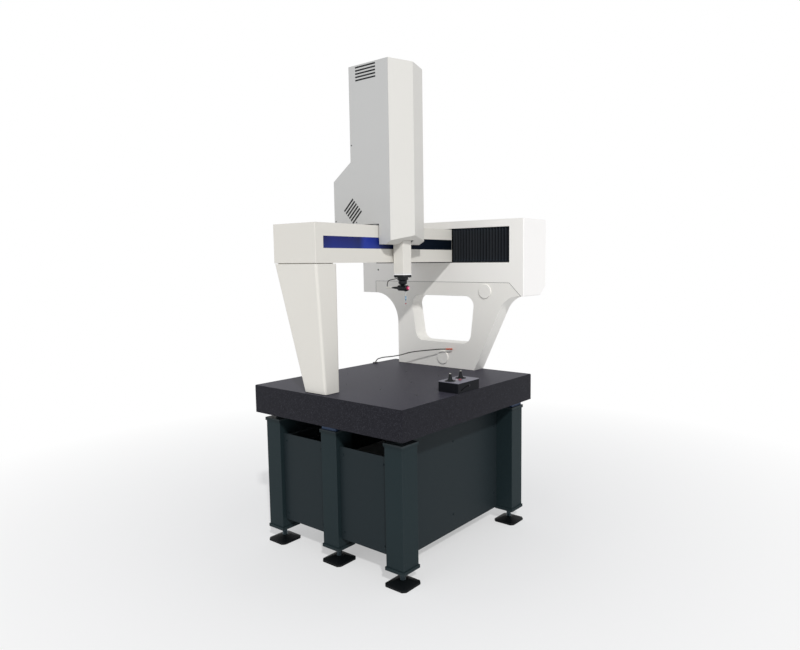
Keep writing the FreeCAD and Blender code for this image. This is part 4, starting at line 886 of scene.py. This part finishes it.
# ---- rubber bead between the wall and the guide housing, a dark brush strip under the curtains' opening that is also painted shade for the gap there, end
# frames of the curtains, and a dark end piece that carries the band up to them
trim = {"bead": 0.0011, "stand": 0.0003, "inset": 0.0001, "slope": 0.0719, "rearRise": 0.0010,
        "frontRise": 0.0005, "brush": 0.0032, "brushHigh": 0.0075, "brushOut": 0.0010, "brushDrop": 0.0005,
        "brushPast": 0.0002, "frame": 0.005, "frameOut": (0.0012, 0.0005),
        "frameLap": (0.0006, 0.0008, 0.0004), "endLap": 0.0002}


def makeTrim():
    wallFrom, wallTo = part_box("wall_cover_inner")
    top, rear, rise = wallTo.z + trim["stand"], wallTo.y - trim["inset"], trim["frontRise"]
    line = ((rear, houseFrom.z + trim["rearRise"]), (rear, top), (wallFrom.y + trim["slope"], top),
            (wallFrom.y + rise, houseFrom.z + rise))
    ribbon("wallBead", [(wallFrom.x + trim["stand"], y, z) for y, z in line], trim["bead"], rimBlack,
           "base")

    frontFrom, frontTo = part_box("curtain_front")
    rearFrom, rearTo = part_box("curtain_rear")
    # painted shade: the brush strip is dark and also stands in for the shade in the gap below the curtains
    x, z, past = frontFrom.x - trim["brushOut"], frontFrom.z - trim["brushDrop"], trim["brushPast"]
    brush = block((x, frontFrom.y - past, z - trim["brushHigh"]), (x + trim["brush"], rearTo.y + past, z))
    finished(softened(brush, 0.6), "openingBrushAndShade", rimBlack, "base")

    x0, x1 = frontFrom.x - trim["frameOut"][0], frontTo.x + trim["frameOut"][1]
    thick = trim["frame"]
    first, last, inner = trim["frameLap"]
    starts = {"base": (frontFrom.y - first, rearTo.y + last - thick),
              "bridge": (frontTo.y - inner - thick, rearFrom.y)}
    for body, places in starts.items():
        bars = [softened(block((x0, y, frontFrom.z), (x1, y + thick, frontTo.z)), 0.5) for y in places]
        finished(joined(*bars), body + "CurtainFrames", sealBlack, body)

    lap = trim["endLap"]
    end = block((bandTo.x - lap, bandFrom.y - lap, bandFrom.z), (x0 - lap, bandTo.y, bandTo.z))
    finished(softened(end, 0.15, 1), "bandEndPiece", bandBlack, "bridge")


makeTrim()
print("seals and frames made")

# ---- probe head, in millimetres: stepped collar and neck, a fixed half barrel and the half that tilts
head = {"collar": ((26.4, 0), (27.5, 0.8), (27.5, 4.2), (26.8, 4.5), (26.8, 5.1), (27.5, 5.4), (27.5, 11.4),
                   (26.9, 12), (23.2, 14.6), (22.4, 15.4), (21.0, 18.8), (21.0, 20.4), (20.3, 20.6),
                   (20.3, 21.4), (21.0, 21.6), (21.0, 30.2), (20.4, 31.2), (17.6, 33.8), (17.0, 33.8),
                   (15.2, 36.6), (0, 36.6)),
        "fixed": ((0, 0), (13.4, 0), (14.5, 1.0), (14.5, 8.0), (13.9, 8.3), (13.9, 9.1), (14.5, 9.4),
                  (14.5, 24.0), (13.6, 26.8), (11.6, 28.2), (8.4, 28.5), (8.0, 27.7), (0, 27.7)),
        "drum": ((0, 0.4), (14.0, 0.4), (14.5, 0.9), (14.5, 4.2), (13.9, 4.5), (13.9, 5.3), (14.5, 5.6),
                 (14.5, 26.4), (14.0, 27.0), (14.5, 27.5), (14.3, 29.6), (13.2, 31.2), (11.4, 32.0),
                 (9.3, 32.0), (9.2, 31.0), (0, 31.0)),
        "seat": ((0, 0), (6.0, 0), (6.7, 0.8), (6.7, 2.6), (6.2, 2.9), (6.2, 3.3), (6.7, 3.6), (7.4, 9.0),
                 (0, 9.0)),
        "cap": ((0, 0), (1.8, 0), (1.8, 0.6), (1.4, 1.0), (0.8, 1.0), (0.7, 0.3), (0, 0.3)),
        "radius": 14.5, "gap": 0.4, "web": rod(13.0, 17.0), "pin": rod(5.0, 12.0), "seatAt": 18,
        "capOut": 14.3, "capAt": (10, 22), "flutes": 20, "flute": (0.9, 0.6), "fluteHigh": (21.6, 30.0),
        "fluteOut": 21.1}


def makeFlutes(x, split, top):
    # shallow upright ribs round the neck
    wide, deep = [size * mm for size in head["flute"]]
    high, low = [top - depth * mm for depth in head["fluteHigh"]]
    flutes = []
    for k in range(head["flutes"]):
        turn = Matrix.Rotation(math.tau * (k + 0.5) / head["flutes"], 4, "Z")
        rib = softened(block((-wide, -deep, low), (wide, deep, high)), 0.3)
        out = Matrix.Translation((0, head["fluteOut"] * mm, 0))
        flutes.append(settled(rib, Matrix.Translation((x, split, 0)) @ turn @ out))
    return flutes


def makeHead():
    drumFrom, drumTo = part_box("head_drum")
    x, top = (drumFrom.x + drumTo.x) / 2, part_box("head_body")[1].z
    axis, split = drumTo.z - head["radius"] * mm, drumTo.y + head["gap"] * mm
    pivot = (x, split, axis)
    collar = lathe(head["collar"], (x, split, top), (0, 0, -1), 64)
    flutes = makeFlutes(x, split, top)
    fixed = lathe(head["fixed"], pivot, (0, 1, 0), 48)
    web = lathe(head["web"], pivot, (0, 0, 1), 48)
    editAll(web)                                  # the web is only the rear half, clear of the drum
    bpy.ops.mesh.bisect(plane_co=(x, split + 0.0001, axis), plane_no=(0, 1, 0), use_fill=True,
                        clear_inner=True)
    bpy.ops.object.mode_set(mode="OBJECT")
    pin = lathe(head["pin"], pivot, (0, -1, 0), 24)
    finished(joined(collar, *flutes, fixed, web, pin), "headUpper", headBlack, "head",
             ["head_body"])

    drum = lathe(head["drum"], pivot, (0, -1, 0), 48)
    seat = lathe(head["seat"], (x, split - head["seatAt"] * mm, drumFrom.z), (0, 0, 1), 32)
    # two small cap screws in each side of the tilting half
    caps = [lathe(head["cap"], (x + side * head["capOut"] * mm, split - y * mm, axis), (side, 0, 0), 16)
            for side in (-1, 1) for y in head["capAt"]]
    finished(joined(drum, seat, *caps), "headDrum", headBlack, "head_tilt", ["head_drum"])


makeHead()
print("probe head made")

# ---- status lens, in millimetres: a dome of frosted acrylic
lens = {"dome": ((0, 0), (9.0, 0), (9.0, 2.6), (8.5, 4.8), (7.3, 6.8), (5.2, 8.3), (2.7, 8.9), (0, 9.0)),
        "sides": 40}


def makeLens():
    middle = (lensFrom + lensTo) / 2
    dome = lathe(lens["dome"], (middle.x, lensTo.y, middle.z), (0, -1, 0), lens["sides"])
    finished(dome, "lensDome", lensPink, "head_tilt", ["head_lens"], 50)


makeLens()

# ---- console, in millimetres from its front lower left corner: cable socket, moulded rib on the front and
# a pale lamp on the top plate
console = {"socket": (93.0, 25.0), "lamp": (76.0, 63.7), "ribRadius": 1.8, "ribOut": 0.2,
           "rib": ((24.0, 11.7), (35.0, 16.5), (46.0, 20.5), (61.0, 24.5), (77.0, 26.8), (87.0, 26.2)),
           "ring": ((0, 0), (4.6, 0), (4.6, 1.0), (4.2, 1.6), (3.0, 1.6), (2.7, 0.4), (0, 0.4)),
           "lens": ((0, 0), (3.6, 0), (3.6, 0.9), (3.0, 1.6), (1.6, 2.1), (0, 2.2))}


def makeConsoleTrim():
    left, front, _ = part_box("console_top")[0]
    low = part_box("console_case")[0].z
    across, up = console["socket"]
    ring = lathe(console["ring"], (left + across * mm, front, low + up * mm), (0, -1, 0), 28)
    finished(ring, "consoleSocket", socketSteel, "base")
    rib = [(left + x * mm, front - console["ribOut"] * mm, low + z * mm) for x, z in console["rib"]]
    ribbon("consoleRib", rib, console["ribRadius"] * mm, sealBlack, "base")
    across, back = console["lamp"]
    lamp = lathe(console["lens"], (left + across * mm, front + back * mm, plateTop), (0, 0, 1), 24)
    finished(lamp, "consoleLamp", lampPale, "base")


makeConsoleTrim()
print("console details made")

# ---- studio
studio = {"floor": 14.0, "paper": "#F4F4F3", "runOut": (1.3, 4.5), "paler": (0.9, 3.2), "palerShare": 0.42,
          "sky": 0.40, "skyTone": "#F6F8FF", "aim": (0, 0, 1.1),
          "lamps": {"keyLamp": {"place": (-10.4, -13.0, 12.93), "wide": 0.9, "power": 2340},
                    "fillLamp": {"place": (-4.4, 0.2, 2.4), "wide": 2.6, "power": 23},
                    "sideLamp": {"place": (1.6, -4.4, 1.8), "wide": 2.4, "power": 8}}}


def sightRay(tree):
    # 1 for the rays by which a thing is seen, straight, in a mirror or through glass
    ray = addNode(tree, "ShaderNodeLightPath")
    shiny = addNode(tree, "ShaderNodeMath", {"operation": "MAXIMUM"},
                    {0: (ray, "Is Glossy Ray"), 1: (ray, "Is Transmission Ray")})
    return addNode(tree, "ShaderNodeMath", {"operation": "MAXIMUM"},
                   {0: (ray, "Is Camera Ray"), 1: (shiny, 0)})


def makeFloor():
    floor = grid(8, 8, studio["floor"])
    floor.name = "studioFloor"
    made, tree, here = newMaterial("paperFloor")
    paper = addNode(tree, "ShaderNodeBsdfPrincipled",
                    {"Base Color": colour(studio["paper"]), "Roughness": 0.9})
    white = addNode(tree, "ShaderNodeEmission", {"Color": colour("#FFFFFF"), "Strength": 1.0})
    # far from the machine the paper runs out into the white background
    away = addNode(tree, "ShaderNodeVectorMath", {"operation": "LENGTH"}, {0: here["Vector"]})
    start, end = studio["runOut"]
    far = addNode(tree, "ShaderNodeMapRange", {"From Min": start, "From Max": end},
                  {"Value": (away, "Value")})
    # where it is seen the paper is paler still, so that the shadow stays soft; it throws no extra light
    start, end = studio["paler"]
    paler = addNode(tree, "ShaderNodeMapRange",
                    {"From Min": start, "From Max": end, "To Min": studio["palerShare"], "To Max": 1.0},
                    {"Value": (away, "Value")})
    seen = addNode(tree, "ShaderNodeMath", {"operation": "MULTIPLY"},
                   {0: (paler, "Result"), 1: (sightRay(tree), 0)})
    share = addNode(tree, "ShaderNodeMath", {"operation": "MAXIMUM"}, {0: (seen, 0), 1: (far, "Result")})
    mixed = addNode(tree, "ShaderNodeMixShader", None,
                    {0: (share, 0), 1: (paper, "BSDF"), 2: (white, "Emission")})
    addNode(tree, "ShaderNodeOutputMaterial", None, {"Surface": (mixed, "Shader")})
    floor.data.materials.append(made)


def makeSky():
    # camera, mirror and glass rays all find plain white; only soft light is dimmer
    scene.world = bpy.data.worlds.new("studioWorld")
    scene.world.use_nodes = True
    tree = scene.world.node_tree
    tree.nodes.clear()
    soft = addNode(tree, "ShaderNodeBackground",
                   {"Color": colour(studio["skyTone"]), "Strength": studio["sky"]})
    white = addNode(tree, "ShaderNodeBackground", {"Color": colour("#FFFFFF"), "Strength": 1.0})
    mixed = addNode(tree, "ShaderNodeMixShader", None,
                    {0: (sightRay(tree), 0), 1: (soft, "Background"), 2: (white, "Background")})
    addNode(tree, "ShaderNodeOutputWorld", None, {"Surface": (mixed, "Shader")})


def makeLamps():
    for name, lamp in studio["lamps"].items():
        data = bpy.data.lights.new(name, "AREA")
        data.size = lamp["wide"]
        data.energy = lamp["power"]
        way = Vector(studio["aim"]) - Vector(lamp["place"])
        turn = way.to_track_quat("-Z", "Y").to_matrix().to_4x4()
        added(name, data).matrix_world = Matrix.Translation(lamp["place"]) @ turn


makeFloor()
makeSky()
makeLamps()
scene.view_settings.view_transform = "Standard"
print("studio ready")
